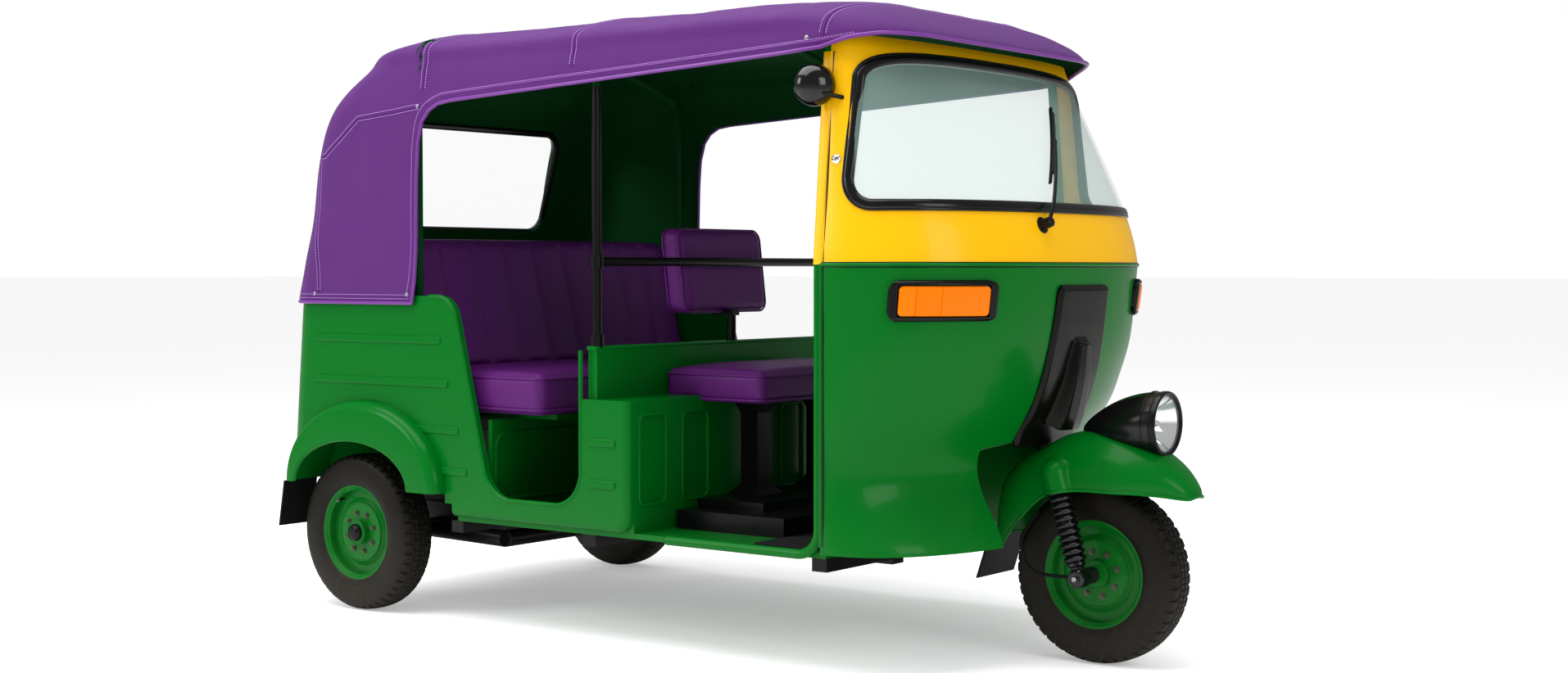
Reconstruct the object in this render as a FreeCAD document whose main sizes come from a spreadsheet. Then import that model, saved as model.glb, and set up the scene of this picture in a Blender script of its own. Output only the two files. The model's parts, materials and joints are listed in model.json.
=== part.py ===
"""Auto rickshaw: a three-wheeled passenger cab with a fabric hood, in millimetres.

Frame: +X forward, +Y to the vehicle's left, +Z up. The origin is on the ground, in the
middle of the overall length and width. Angles are in degrees.
"""
import FreeCAD, Part
import math
import os

import Sketcher

DOC = FreeCAD.newDocument("AutoRickshaw")
SHEET = DOC.addObject("Spreadsheet::Sheet", "Sizes")
NODES = {}


class Size:
    """A number of the sheet: its value, and the expression that gives it."""

    def __init__(self, value, text):
        self.value = float(value)
        self.text = text

    def _join(self, other, sign, value):
        return Size(value, "(%s %s %s)" % (self.text, sign, text_of(other)))

    def __add__(self, other):
        return self._join(other, "+", self.value + float(other))

    def __sub__(self, other):
        return self._join(other, "-", self.value - float(other))

    def __mul__(self, other):
        return self._join(other, "*", self.value * float(other))

    def __truediv__(self, other):
        return self._join(other, "/", self.value / float(other))

    def __radd__(self, other):
        return Size(float(other) + self.value, "(%s + %s)" % (text_of(other), self.text))

    def __rsub__(self, other):
        return Size(float(other) - self.value, "(%s - %s)" % (text_of(other), self.text))

    def __rmul__(self, other):
        return Size(float(other) * self.value, "(%s * %s)" % (text_of(other), self.text))

    def __neg__(self):
        return Size(-self.value, "(-%s)" % self.text)

    def __float__(self):
        return self.value


def text_of(number):
    """The expression text of a Size or of a plain number."""
    return number.text if isinstance(number, Size) else repr(float(number))


class Sizes:
    """The driving dimensions, each an aliased cell of the sheet."""

    def __init__(self, table):
        for row, (alias, value) in enumerate(table.items(), 1):
            SHEET.set("A%d" % row, alias)
            SHEET.set("B%d" % row, str(value))
            SHEET.setAlias("B%d" % row, alias)
            setattr(self, alias, Size(value, "Sizes." + alias))


SIZES = {
    # Overall, and the planes that the panels share
    "length": 2650, "width": 1300, "side_y": 605, "wall": 24, "sheet_gap": 0.3, "cut_over": 40,
    "belt_z": 990, "sill_z": 306, "floor_z": 300, "floor_sheet": 14, "tub_top_z": 905,
    "tub_bottom_z": 335,
    # Wheels
    "wheel_radius": 224, "tyre_half": 56, "bead_radius": 127, "bead_half": 38,
    "flange_radius": 137, "flange_half": 48, "rim_sheet": 6, "tread_groove": 7, "groove_half": 3,
    "groove_pitch": 19, "hub_radius": 34, "hub_face": 46, "disc_radius": 84, "disc_face": 28,
    "drum_back": 34, "bore_radius": 13, "bore_gap": 0.5, "wheel_gap": 0.5, "axle_x": -1015,
    "front_x": 1065, "half_track": 549,
    # Cab floor, partition and box
    "pillar_x": 634, "box_x": 28, "partition_x": -127, "partition_z": 773, "partition_sheet": 30,
    "box_z": 641, "box_sheet": 12, "panel_depth": 6, "panel_round": 18, "panel_half": 50,
    "panel_low": 373, "panel_high": 600,
    # Rear tub
    "tub_lean": 40, "tub_corner": 100, "tub_tail_z": 440, "door_top_x": -612,
    "door_low_x": -470, "door_front_x": -134, "door_sill_z": 357, "door_corner": 105,
    "door_front_corner": 95, "door_top_corner": 70, "foot_corner": 45, "box_round": 20, "lid_half": 330,
    "lid_low": 480, "lid_high": 820, "lid_gap": 6, "hinge_radius": 8, "hinge_y": 230,
    "hinge_half": 32,
    # Pressed ribs on the tub's sides
    "bead_proud": 4, "bead_half_z": 11, "bead_round_share": 0.9, "bead_a_rear": -1170,
    "bead_a_front": -652, "bead_a_z": 783, "bead_b_rear": -1175, "bead_b_front": -624,
    "bead_b_z": 664, "bead_c_rear": -752, "bead_c_front": -584, "bead_c_z": 536,
    "bead_d_rear": -690, "bead_d_front": -552, "bead_d_z": 424, "bead_box_rear": -109,
    "bead_box_front": -13, "bead_high_z": 531, "bead_low_z": 423,
    # Rear mudguards and flaps
    "guard_x": -955, "guard_reach": 316, "guard_top": 606, "guard_low": 362, "guard_sheet": 6,
    "lip_reach": 240, "lip_top": 496, "lip_x": -985, "guard_inner_y": 470, "guard_round": 30,
    "flap_low": 228, "flap_sheet": 6, "flap_half": 60,
    # Front cowl, in plan sections
    "nose_reach": 376, "dash_face_share": 0.45, "dash_front_share": 0.75, "cowl_sheet": 8,
    "cowl_top_z": 1540, "upper_half": 545, "root_lean": 9,
    "window_x": 676, "window_low": 1112, "window_high": 1492, "window_round": 84,
    "window_rise": 0.4, "seal_width": 26, "arch_radius": 252, "arch_top": 548,
    # Canopy
    "hood_half": 615.6, "hood_sheet": 10, "hem_z": 884, "height": 1680, "hood_front": 790,
    "edge_rear_z": 1433, "quarter_x": -742, "quarter_round": 80, "visor_z": 1512,
    "rear_win_half": 400, "rear_win_low": 1104, "rear_win_high": 1415, "rear_win_round": 50,
    "bow_radius": 11, "bow_gap": 0.3, "bow_sag_share": 0.1105, "bow_knee_share": 0.0754, "bow_back": 37,
    "bow_drop": 40,
    # Posts, rails and their sleeves
    "sill_radius": 12, "sill_bend": 62, "sill_start": 150, "post_radius": 12, "post_y": 564,
    "post_x": -112, "rail_z": 999, "sleeve_radius": 17, "sleeve_long": 36,
    # Seats
    "bench_front": -321, "bench_rear": -805, "bench_low": 584, "bench_high": 700,
    "seat_half": 560, "cushion_round": 26, "back_low_x": -722, "back_high_x": -840,
    "back_low": 700.3, "back_high": 1062, "back_thick": 88, "base_front": -480, "deck_front": -345,
    "base_sheet": 14,
    "driver_front": 190, "driver_half": 250, "driver_low": 643, "driver_high": 712,
    "rest_x": -132, "rest_thick": 80, "rest_half": 175, "rest_low": 865, "rest_high": 1085,
    "stem_radius": 16,
    # Driver's seat stand and plinth
    "leg_y": 150, "leg_half": 29, "leg_rear": 62, "leg_front": 118, "plinth_rear": 45,
    "plinth_front": 395, "plinth_half": 430, "plinth_z": 350, "plinth_step": 22,
    "foot_flare": 24, "bracket_z": 590,
    # Steering, in the plane y = 0: the column leans back by the rake from its foot on the ground
    "rake": 25, "trail_foot_x": 1140, "column_radius": 17, "head_radius": 26, "head_low": 600,
    "head_high": 860, "column_top": 1030, "column_low": 478, "bar_half": 300, "bar_radius": 12,
    "grip_radius": 17, "grip_long": 125, "pod_half": 95, "pod_high": 46, "leg_side": 82,
    "leg_radius": 16, "steer_gap": 0.5,
    # Front mudguard, lamp and flap
    "fender_sheet": 4, "fender_half": 110, "fender_crest": 335, "lamp_radius": 76,
    "lamp_x": 1236, "lamp_back": 1038, "lamp_z": 602, "lens_bulge": 12,
    "tower_radius": 34, "tower_down": 40, "tower_up": 45, "flap_crest_share": 0.86,
    "flap_front_half": 90, "front_flap_low": 193, "flap_drop": 2, "flap_lean": 30, "lens_gap": -0.48,
    # Damper and hose
    "damper_y": -116, "boss_radius": 24, "boss_half": 22, "coil_radius": 28, "coil_core": 19,
    "coil_turns": 11, "damper_top_x": 1000, "damper_top_z": 455, "hose_radius": 4.5,
    # Lamps, mirrors, wiper and garnish
    "indicator_y": 460, "indicator_z": 905, "indicator_high": 50, "indicator_long": 110,
    "indicator_round": 30, "bezel_width": 14, "bezel_proud": 22, "indicator_proud": 27,
    "mirror_radius": 45, "mirror_rim": 8, "mirror_depth": 40, "mirror_x": 614, "mirror_z": 1417,
    "stalk_radius": 7, "stalk_ahead": 26, "tail_y": 426, "tail_z": 780,
    "tail_radius": 42, "lamp_depth": 12, "garnish_half": 124, "garnish_flare": 14,
    "garnish_top": 932, "garnish_low": 550, "garnish_proud": 9, "rib_half": 24, "rib_low": 630,
    "rib_high": 850, "rib_proud": 17, "wiper_x": 999, "wiper_y": -170, "wiper_z": 1098,
    "wiper_back": 188, "wiper_across": 352, "wiper_rise": 302, "wiper_radius": 5, "wiper_hub": 12,
    # Chassis, engine and rear suspension
    "rail_y": 270, "rail_share": 0.93, "rail_half": 25, "rail_low": 240, "cross_half": 22,
    "engine_half": 215,
    "engine_rear": -1215, "engine_front": -790, "engine_low": 200, "engine_high": 500,
    "arm_y": 390, "arm_radius": 24, "pivot_x": -620, "shock_radius": 26, "shaft_radius": 15,
    "shock_top": 560,
}
S = Sizes(SIZES)
S.tub_rear_top = -S.length / 2 + S.tub_lean
DOC.recompute()


# Small helpers

def vec(x, y, z):
    return FreeCAD.Vector(float(x), float(y), float(z))


def bind(item, **cells):
    """Bind properties of a document object to expressions of the sheet."""
    for name, size in cells.items():
        path = name.replace("__", ".")
        item.setExpression(path, text_of(size))
    return item


def node(name, item):
    """Name a finished sub-part."""
    item.Label = name
    NODES[name] = item
    return item


def feature(name, shape):
    item = DOC.addObject("Part::Feature", name)
    item.Shape = shape
    return item


def box(name, low, high):
    """A block between two corners given in sizes."""
    item = DOC.addObject("Part::Box", name)
    x, y, z = low
    return bind(item, Length=high[0] - x, Width=high[1] - y, Height=high[2] - z,
                Placement__Base__x=x, Placement__Base__y=y, Placement__Base__z=z)


def fuse(name, items):
    item = DOC.addObject("Part::MultiFuse", name)
    item.Shapes = items
    return item


def cut(name, base, tool):
    item = DOC.addObject("Part::Cut", name)
    item.Base = base
    item.Tool = tool
    return item


def group(name, items):
    item = DOC.addObject("Part::Compound", name)
    item.Links = items
    return item


def mirrored(name, source):
    """The same piece on the vehicle's other side."""
    item = DOC.addObject("Part::Mirroring", name)
    item.Source = source
    item.Normal = FreeCAD.Vector(0, 1, 0)
    return item


def outline(body, name, role, points):
    """A closed sketch whose corners are each held by two expressions."""
    sketch = body.newObject("Sketcher::SketchObject", name)
    plane = next(item for item in body.Origin.OriginFeatures if item.Role == role)
    sketch.AttachmentSupport = [(plane, "")]
    sketch.MapMode = "FlatFace"
    corners = [vec(x, y, 0) for x, y in points]
    count = len(corners)
    for index, corner in enumerate(corners):
        sketch.addGeometry(Part.LineSegment(corner, corners[(index + 1) % count]), False)
    for index in range(count):
        sketch.addConstraint(Sketcher.Constraint("Coincident", index, 2, (index + 1) % count, 1))
    for index, point in enumerate(points):
        for kind, size in zip(("DistanceX", "DistanceY"), point):
            held = Sketcher.Constraint(kind, -1, 1, index, 1, float(size))
            sketch.setExpression("Constraints[%d]" % sketch.addConstraint(held), text_of(size))
    return sketch


def turned_body(name, profile):
    """A body turned about its own Y axis from (radius, y) corners."""
    body = DOC.addObject("PartDesign::Body", name)
    sketch = outline(body, name + "_profile", "XY_Plane", profile)
    turn = body.newObject("PartDesign::Revolution", name + "_turn")
    turn.Profile = sketch
    turn.ReferenceAxis = (sketch, ["V_Axis"])
    return body


def side_body(name, profile, near_y, far_y):
    """A body padded from an outline in the XZ plane between two values of y."""
    body = DOC.addObject("PartDesign::Body", name)
    sketch = outline(body, name + "_outline", "XZ_Plane", profile)
    bind(sketch, AttachmentOffset__Base__z=-far_y)
    pad = body.newObject("PartDesign::Pad", name + "_pad")
    pad.Profile = sketch
    bind(pad, Length=far_y - near_y)
    return body


def side_prism(points, near_y, far_y, rounds=()):
    """A prism along Y from (x, z) points, with the listed corners rounded."""
    corners = [vec(x, near_y, z) for x, z in points]
    face = Part.Face(Part.makePolygon(corners + corners[:1]))
    solid = face.extrude(vec(0, far_y - near_y, 0))
    for index, radius in rounds:
        corner = corners[index]
        edges = [edge for edge in solid.Edges
                 if abs(edge.BoundBox.XLength) < 1e-6 and abs(edge.BoundBox.ZLength) < 1e-6
                 and abs(edge.BoundBox.XMin - corner.x) < 1e-3
                 and abs(edge.BoundBox.ZMin - corner.z) < 1e-3]
        solid = solid.makeFillet(float(radius), edges)
    return solid


def rod(radius, start, end):
    """A round bar between two points."""
    return Part.makeCylinder(float(radius), (end - start).Length, start, end - start)


def swept_tube(radius, points, bends):
    """A round bar along straight runs joined by tangent arcs."""
    edges = []
    last = points[0]
    for index in range(1, len(points) - 1):
        corner = points[index]
        back = (points[index - 1] - corner).normalize()
        on = (points[index + 1] - corner).normalize()
        half = back.getAngle(on) / 2
        reach = float(bends[index - 1]) / math.tan(half)
        start = corner + back * reach
        end = corner + on * reach
        toward = (back + on).normalize()
        middle = corner + toward * (float(bends[index - 1]) / math.sin(half) - float(bends[index - 1]))
        edges.append(Part.LineSegment(last, start).toShape())
        edges.append(Part.Arc(start, middle, end).toShape())
        last = end
    edges.append(Part.LineSegment(last, points[-1]).toShape())
    path = Part.Wire(edges)
    direction = points[1] - points[0]
    ring = Part.Wire(Part.Circle(points[0], direction, float(radius)).toShape())
    return path.makePipeShell([ring], True, False)


def mix(first, second, share):
    return first + (second - first) * share


# Wheels

def tyre_profile():
    """Bead to bead: bulged sidewalls, rounded shoulders and three grooves round the tread."""
    def side(way):
        return [(S.bead_radius, S.bead_half * way), (S.flange_radius, (S.bead_half + S.rim_sheet) * way),
                (mix(S.flange_radius, S.wheel_radius, 0.12), S.tyre_half * 0.92 * way),
                (mix(S.flange_radius, S.wheel_radius, 0.42), S.tyre_half * way),
                (mix(S.flange_radius, S.wheel_radius, 0.74), S.tyre_half * 0.95 * way),
                (mix(S.flange_radius, S.wheel_radius, 0.93), S.tyre_half * 0.78 * way)]
    grooves = []
    for step in (-1, 0, 1):
        middle = S.groove_pitch * step
        for edge, depth in ((-1, 0), (-1, 1), (1, 1), (1, 0)):
            grooves.append((S.wheel_radius - S.tread_groove * depth, middle + S.groove_half * edge))
    return side(-1) + grooves + side(1)[::-1]


def rim_profile():
    """Flanged barrel, stepped disc and hub with a drum behind, outboard towards +Y."""
    inside = S.bead_radius - S.rim_sheet
    return [(S.flange_radius, S.flange_half), (S.flange_radius, S.bead_half + S.rim_sheet),
            (S.bead_radius, S.bead_half), (S.bead_radius, -S.bead_half),
            (S.flange_radius, -(S.bead_half + S.rim_sheet)), (S.flange_radius, -S.flange_half),
            (S.flange_radius - S.rim_sheet, -S.flange_half), (inside, -S.bead_half),
            (inside, S.disc_face * 0.4), (S.disc_radius * 1.14, S.disc_face * 0.4),
            (S.disc_radius * 1.02, S.disc_face * 0.7), (S.disc_radius * 1.02, -S.drum_back),
            (S.bore_radius, -S.drum_back), (S.bore_radius, S.hub_face),
            (S.hub_radius, S.hub_face), (S.hub_radius, S.disc_face), (S.disc_radius, S.disc_face),
            (S.disc_radius * 1.17, S.disc_face * 0.64), (inside, S.disc_face * 0.64),
            (inside, S.bead_half), (S.flange_radius - S.rim_sheet, S.flange_half)]


def wheel(place, x, y, outboard):
    """A tyre and its rim, the rim's disc facing outboard: 1 for +Y, -1 for -Y."""
    tyre = node("tyre_" + place, turned_body("tyre_" + place, tyre_profile()))
    rim = node("rim_" + place, turned_body("rim_" + place, rim_profile()))
    for item in (tyre, rim):
        bind(item, Placement__Base__x=x, Placement__Base__y=y, Placement__Base__z=S.wheel_radius)
        item.Placement.Rotation = FreeCAD.Rotation(FreeCAD.Vector(0, 0, 1), 90 - 90 * outboard)


# Floor, chassis and running gear

def chassis():
    rear = -S.length / 2 * S.rail_share
    rails = [box("chassis_rail%d" % way, (rear, S.rail_y * way - S.rail_half, S.rail_low),
                 (S.pillar_x, S.rail_y * way + S.rail_half, S.floor_z - S.floor_sheet))
             for way in (-1, 1)]
    crosses = []
    for index, share in enumerate((-0.97, -0.2, 0.97)):
        middle = S.pillar_x * share
        crosses.append(box("chassis_cross%d" % index,
                           (middle - S.cross_half, -(S.side_y - S.wall), S.rail_low + S.floor_sheet),
                           (middle + S.cross_half, S.side_y - S.wall, S.floor_z - S.floor_sheet)))
    return node("chassis_frame", fuse("chassis_frame", rails + crosses))


def floor_pan():
    low, high = S.floor_z - S.floor_sheet, S.floor_z
    rear = box("floor_rear", (S.door_top_x, -(S.side_y - S.wall), low), (S.box_x, S.side_y - S.wall, high))
    half = S.side_y - S.sill_radius * 2 - S.sheet_gap
    front = box("floor_front", (S.box_x, -half, low), (S.pillar_x, half, high))
    return node("floor_pan", fuse("floor_pan", [rear, front]))


def partition_box():
    """The wall behind the driver and the box that carries the seat, with pressed panels."""
    wall = box("partition_wall", (S.partition_x, -(S.side_y - S.wall), S.floor_z),
               (S.partition_x + S.partition_sheet, S.side_y - S.wall, S.partition_z))
    shell = box("box_shell", (S.partition_x + S.partition_sheet, -(S.side_y - S.wall), S.floor_z),
                (S.box_x, S.side_y - S.wall, S.box_z))
    room = box("box_room", (S.partition_x + S.partition_sheet, -(S.side_y - S.wall - S.box_sheet), S.floor_z),
               (S.box_x - S.box_sheet, S.side_y - S.wall - S.box_sheet, S.box_z - S.box_sheet))
    hollow = cut("box_hollow", shell, room)
    middles = (-0.87, -0.57, 0.17, 0.57, 0.87)
    panels = []
    for index, share in enumerate(middles):
        middle = (S.side_y - S.wall) * share
        press = box_shape((S.box_x - S.panel_depth, middle - S.panel_half, S.panel_low),
                          (S.box_x + S.cut_over, middle + S.panel_half, S.panel_high))
        edges = [edge for edge in press.Edges if edge.BoundBox.XLength > float(S.cut_over)]
        panels.append(feature("box_panel%d" % index, press.makeFillet(float(S.panel_round), edges)))
    pressed = cut("box_pressed", hollow, fuse("box_panels", panels))
    return node("partition_box", fuse("partition_box", [wall, pressed]))


def engine_block():
    low = (S.engine_rear, -S.engine_half, S.engine_low)
    return node("engine_block", box("engine_block", low, (S.engine_front, S.engine_half, S.engine_high)))


def rear_suspension():
    """Trailing arms, their cross tube, wheel shafts and shock absorbers."""
    hub_inner = S.half_track - S.drum_back - S.wheel_gap
    pivot_z = S.rail_low - S.arm_radius - S.sheet_gap
    shapes = [rod(S.arm_radius, vec(S.pivot_x, -S.arm_y, pivot_z), vec(S.pivot_x, S.arm_y, pivot_z))]
    for way in (-1, 1):
        hub = vec(S.axle_x, S.arm_y * way, S.wheel_radius)
        pivot = vec(S.pivot_x, S.arm_y * way, pivot_z)
        shapes.append(rod(S.arm_radius, pivot, hub))
        shapes.append(rod(S.arm_radius * 1.4, hub, vec(S.axle_x, hub_inner * way, S.wheel_radius)))
        pin_end = (S.half_track + S.hub_face - S.rim_sheet) * way
        shapes.append(rod(S.bore_radius - S.bore_gap, hub, vec(S.axle_x, pin_end, S.wheel_radius)))
        inner = vec(S.axle_x, (S.engine_half + S.sheet_gap) * way, S.wheel_radius)
        shapes.append(rod(S.shaft_radius, inner, hub))
        top = vec(S.axle_x * 0.96, S.arm_y * way, S.shock_top)
        shapes.append(rod(S.shock_radius, hub, top))
    whole = shapes[0].multiFuse(shapes[1:]).removeSplitter()
    return node("rear_suspension", feature("rear_suspension", whole))


# Rear tub and its mudguards

def guard_outline(reach, top, low, middle, steps=12):
    """Half an ellipse over the wheel, closed along the bottom."""
    points = []
    for step in range(steps + 1):
        angle = math.pi * step / steps
        points.append((middle + reach * math.cos(angle), low + (top - low) * math.sin(angle)))
    return points


def curved_prism(points, near_y, far_y):
    """A prism along Y whose outline is one smooth arch through the points and a straight foot."""
    arch = Part.BSplineCurve()
    arch.interpolate([vec(x, near_y, z) for x, z in points])
    (start_x, start_z), (end_x, end_z) = points[0], points[-1]
    foot = Part.LineSegment(vec(end_x, near_y, end_z), vec(start_x, near_y, start_z))
    face = Part.Face(Part.Wire([arch.toShape(), foot.toShape()]))
    return face.extrude(vec(0, far_y - near_y, 0))


def guard_block(inset, near_y, far_y):
    points = guard_outline(S.guard_reach - inset, S.guard_top - inset, S.guard_low, S.guard_x)
    return curved_prism(points, near_y, far_y)


def guard_skin(inset):
    """The arch box's volume, drawn in by the inset, with its outer top edge rounded."""
    near = -(S.width / 2 - inset)
    block = guard_block(inset, near, -(S.guard_inner_y + inset))
    edges = [edge for edge in block.Edges
             if edge.BoundBox.YLength < 1e-3 and abs(edge.BoundBox.YMin - float(near)) < 1e-3
             and edge.BoundBox.ZLength > float(S.guard_round)]
    return block.makeFillet(float(S.guard_round - inset), edges)


def rear_mudguard():
    """One arch box over the right wheel, its wheel opening cut through the outer face."""
    inner = guard_skin(S.guard_sheet)
    foot = box_shape((S.guard_x - S.guard_reach + S.guard_sheet, -(S.width / 2 - S.guard_sheet),
                      S.guard_low - S.cut_over),
                     (S.guard_x + S.guard_reach - S.guard_sheet, -(S.guard_inner_y + S.guard_sheet),
                      S.guard_low))
    lip = guard_outline(S.lip_reach, S.lip_top, S.guard_low - S.sheet_gap, S.lip_x)
    opening = curved_prism(lip, -(S.width / 2 + S.cut_over), -(S.side_y - S.wall))
    return guard_skin(0).cut(inner.fuse(foot)).cut(opening)


def rear_mudguards():
    right = feature("mudguard_right", rear_mudguard())
    return node("rear_mudguards", group("rear_mudguards", [right, mirrored("mudguard_left", right)]))


def rear_flaps():
    """Rubber flaps behind the rear wheels, hung from the mudguards' rear ends."""
    top = S.guard_low - S.sheet_gap
    near = -(S.width / 2 - S.guard_sheet)
    far = near + S.flap_half * 2
    rear = S.guard_x - S.guard_reach
    profile = [(rear, top), (rear + S.flap_sheet, top), (rear - S.flap_sheet * 3, S.flap_low),
               (rear - S.flap_sheet * 4, S.flap_low)]
    right = side_body("flap_right", profile, near, far)
    return node("rear_flaps", group("rear_flaps", [right, mirrored("flap_left", right)]))


def tub_rear_x(z):
    """The sloping rear face of the tub at height z."""
    share = (z - S.tub_tail_z) / (S.tub_top_z - S.tub_tail_z)
    return -S.length / 2 + (S.tub_rear_top + S.length / 2) * float(share)


def tub_slab(inset, low, high):
    """The tub's full volume: sloping rear with round corners, in two plan outlines."""
    wires = []
    for z in (low, high):
        rear = float(tub_rear_x(z) + inset)
        side = float(S.side_y - inset)
        corner = float(S.tub_corner - inset)
        front = float(S.box_x + S.cut_over)
        a = vec(front, -side, z)
        b = vec(rear + corner, -side, z)
        c = vec(rear, -side + corner, z)
        d = vec(rear, side - corner, z)
        e = vec(rear + corner, side, z)
        f = vec(front, side, z)
        swing = corner * (1 - math.sqrt(0.5))
        right_mid = vec(rear + swing, -side + swing, z)
        left_mid = vec(rear + swing, side - swing, z)
        wires.append(Part.Wire([
            Part.LineSegment(a, b).toShape(), Part.Arc(b, right_mid, c).toShape(),
            Part.LineSegment(c, d).toShape(), Part.Arc(d, left_mid, e).toShape(),
            Part.LineSegment(e, f).toShape(), Part.LineSegment(f, a).toShape()]))
    return Part.makeLoft(wires, True, True)


def tub_walls():
    """The tub's wall all round, as one shell from floor to the canopy's foot."""
    outer = tub_slab(0, S.tub_bottom_z, S.tub_top_z)
    inner = tub_slab(S.wall, S.tub_bottom_z - S.cut_over, S.tub_top_z + S.cut_over)
    return outer.cut(inner)


# pressed ribs on the side, each as its rear x, front x and middle z
SIDE_BEADS = ((S.bead_a_rear, S.bead_a_front, S.bead_a_z), (S.bead_b_rear, S.bead_b_front, S.bead_b_z),
              (S.bead_c_rear, S.bead_c_front, S.bead_c_z), (S.bead_d_rear, S.bead_d_front, S.bead_d_z),
              (S.bead_box_rear, S.bead_box_front, S.bead_high_z),
              (S.bead_box_rear, S.bead_box_front, S.bead_low_z))


def bead(rear, front, z):
    """A long low rib with round ends, standing proud of the right side."""
    half = S.bead_half_z
    block = box_shape((rear, -(S.side_y + S.bead_proud), z - half),
                      (front, -(S.side_y - S.wall / 2), z + half))
    edges = [edge for edge in block.Edges if edge.BoundBox.YLength > float(S.bead_proud)]
    rib = block.makeFillet(float(half) * float(S.bead_round_share), edges)
    rim = [edge for edge in rib.Edges if edge.BoundBox.YMax < -float(S.side_y)]
    return rib.makeFillet(float(S.bead_proud) * float(S.bead_round_share), rim)


def side_panel_right():
    """The tub side with the passenger doorway and the wheel arch cut out."""
    over = S.cut_over
    rear = S.tub_rear_top + S.tub_corner
    panel = side_prism([(rear, S.tub_bottom_z), (S.door_top_x, S.tub_bottom_z),
                        (S.door_top_x, S.floor_z), (S.box_x, S.floor_z), (S.box_x, S.tub_top_z),
                        (rear, S.tub_top_z)],
                       -S.side_y, -(S.side_y - S.wall), [(3, S.foot_corner)])
    near, far = -(S.side_y + over), -(S.side_y - S.wall - over)
    door = side_prism([(S.door_low_x, S.door_sill_z), (S.door_front_x, S.door_sill_z),
                       (S.door_front_x, S.tub_top_z + over), (S.door_top_x - over * 2, S.tub_top_z + over),
                       (S.door_top_x - over * 2, S.tub_top_z), (S.door_top_x, S.tub_top_z)],
                      near, far, [(0, S.door_corner), (1, S.door_front_corner), (5, S.door_top_corner)])
    notch = side_prism([(S.door_front_x, S.box_z), (S.box_x + over, S.box_z),
                        (S.box_x + over, S.tub_top_z + over), (S.door_front_x - over, S.tub_top_z + over),
                        (S.door_front_x - over, S.partition_z), (S.door_front_x, S.partition_z)], near, far)
    arch = guard_block(-S.sheet_gap, -(S.side_y + over), -(S.side_y - S.wall - over))
    below = side_prism([(S.guard_x - S.guard_reach - over * 2, S.tub_bottom_z - over),
                        (S.guard_x + S.guard_reach, S.tub_bottom_z - over),
                        (S.guard_x + S.guard_reach, S.guard_low + S.sheet_gap),
                        (S.guard_x - S.guard_reach - over * 2, S.guard_low + S.sheet_gap)], near, far)
    panel = panel.cut(door).cut(notch)
    corner = [edge for edge in panel.Edges
              if abs(edge.CenterOfMass.x - float(S.box_x)) < float(S.sheet_gap)
              and abs(edge.CenterOfMass.y + float(S.side_y)) < float(S.sheet_gap)]
    panel = panel.makeFillet(float(S.box_round), corner)
    panel = panel.multiFuse([bead(*place) for place in SIDE_BEADS])
    return panel.cut(arch).cut(below)


def side_panels():
    right = node("side_panel_right", feature("side_panel_right", side_panel_right()))
    node("side_panel_left", mirrored("side_panel_left", right))


def rear_panel():
    """The tub's rear wall with its corners and the engine lid's opening."""
    walls = tub_walls()
    over = S.cut_over
    cut_x = S.tub_rear_top + S.tub_corner
    front_part = side_prism([(cut_x, S.tub_bottom_z - over), (S.box_x + over * 3, S.tub_bottom_z - over),
                             (S.box_x + over * 3, S.tub_top_z + over), (cut_x, S.tub_top_z + over)],
                            -(S.side_y + over), S.side_y + over)
    below = box_shape((-S.length / 2 - over, -(S.side_y + over), S.tub_bottom_z - over),
                      (S.box_x, S.side_y + over, S.tub_tail_z))
    panel = walls.cut(front_part).cut(below)
    hole = box_shape((-S.length / 2 - over, -S.lid_half, S.lid_low),
                     (S.tub_rear_top + over * 2, S.lid_half, S.lid_high))
    panel = panel.cut(hole)
    wheel_side = guard_block(-S.sheet_gap, -(S.width / 2 + over), -(S.guard_inner_y - S.sheet_gap))
    mirror = wheel_side.mirror(FreeCAD.Vector(0, 0, 0), FreeCAD.Vector(0, 1, 0))
    panel = panel.cut(wheel_side).cut(mirror)
    face_x = tub_rear_x(S.lid_high) - S.sheet_gap
    seat_z = S.lid_high - S.lid_gap + S.hinge_radius + S.sheet_gap
    leaves = [box_shape((face_x - S.hinge_radius - S.sheet_gap, S.hinge_y * way - S.hinge_half, seat_z),
                        (face_x + S.wall / 2, S.hinge_y * way + S.hinge_half, seat_z + S.hinge_half))
              for way in (-1, 1)]
    return node("rear_panel", feature("rear_panel", panel.multiFuse(leaves)))


def box_shape(low, high):
    size = vec(*high) - vec(*low)
    return Part.makeBox(size.x, size.y, size.z, vec(*low))


def engine_lid():
    """The lid over the engine, hinged along its top edge."""
    gap = S.lid_gap
    walls = tub_walls()
    block = box_shape((-S.length / 2 - S.cut_over, -(S.lid_half - gap), S.lid_low + gap),
                      (S.tub_rear_top + S.cut_over * 2, S.lid_half - gap, S.lid_high - gap))
    lid = walls.common(block)
    edge_z = S.lid_high - gap
    face_x = tub_rear_x(S.lid_high) - S.sheet_gap
    axis_x = face_x - S.hinge_radius
    for way in (-1, 1):
        near, far = S.hinge_y * way - S.hinge_half, S.hinge_y * way + S.hinge_half
        knuckle = rod(S.hinge_radius, vec(axis_x, near, edge_z), vec(axis_x, far, edge_z))
        leaf = box_shape((axis_x, near, edge_z - S.hinge_half), (face_x + gap, far, edge_z))
        lid = lid.multiFuse([knuckle, leaf])
    return node("engine_lid", feature("engine_lid", lid))


# Front cowl

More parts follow.
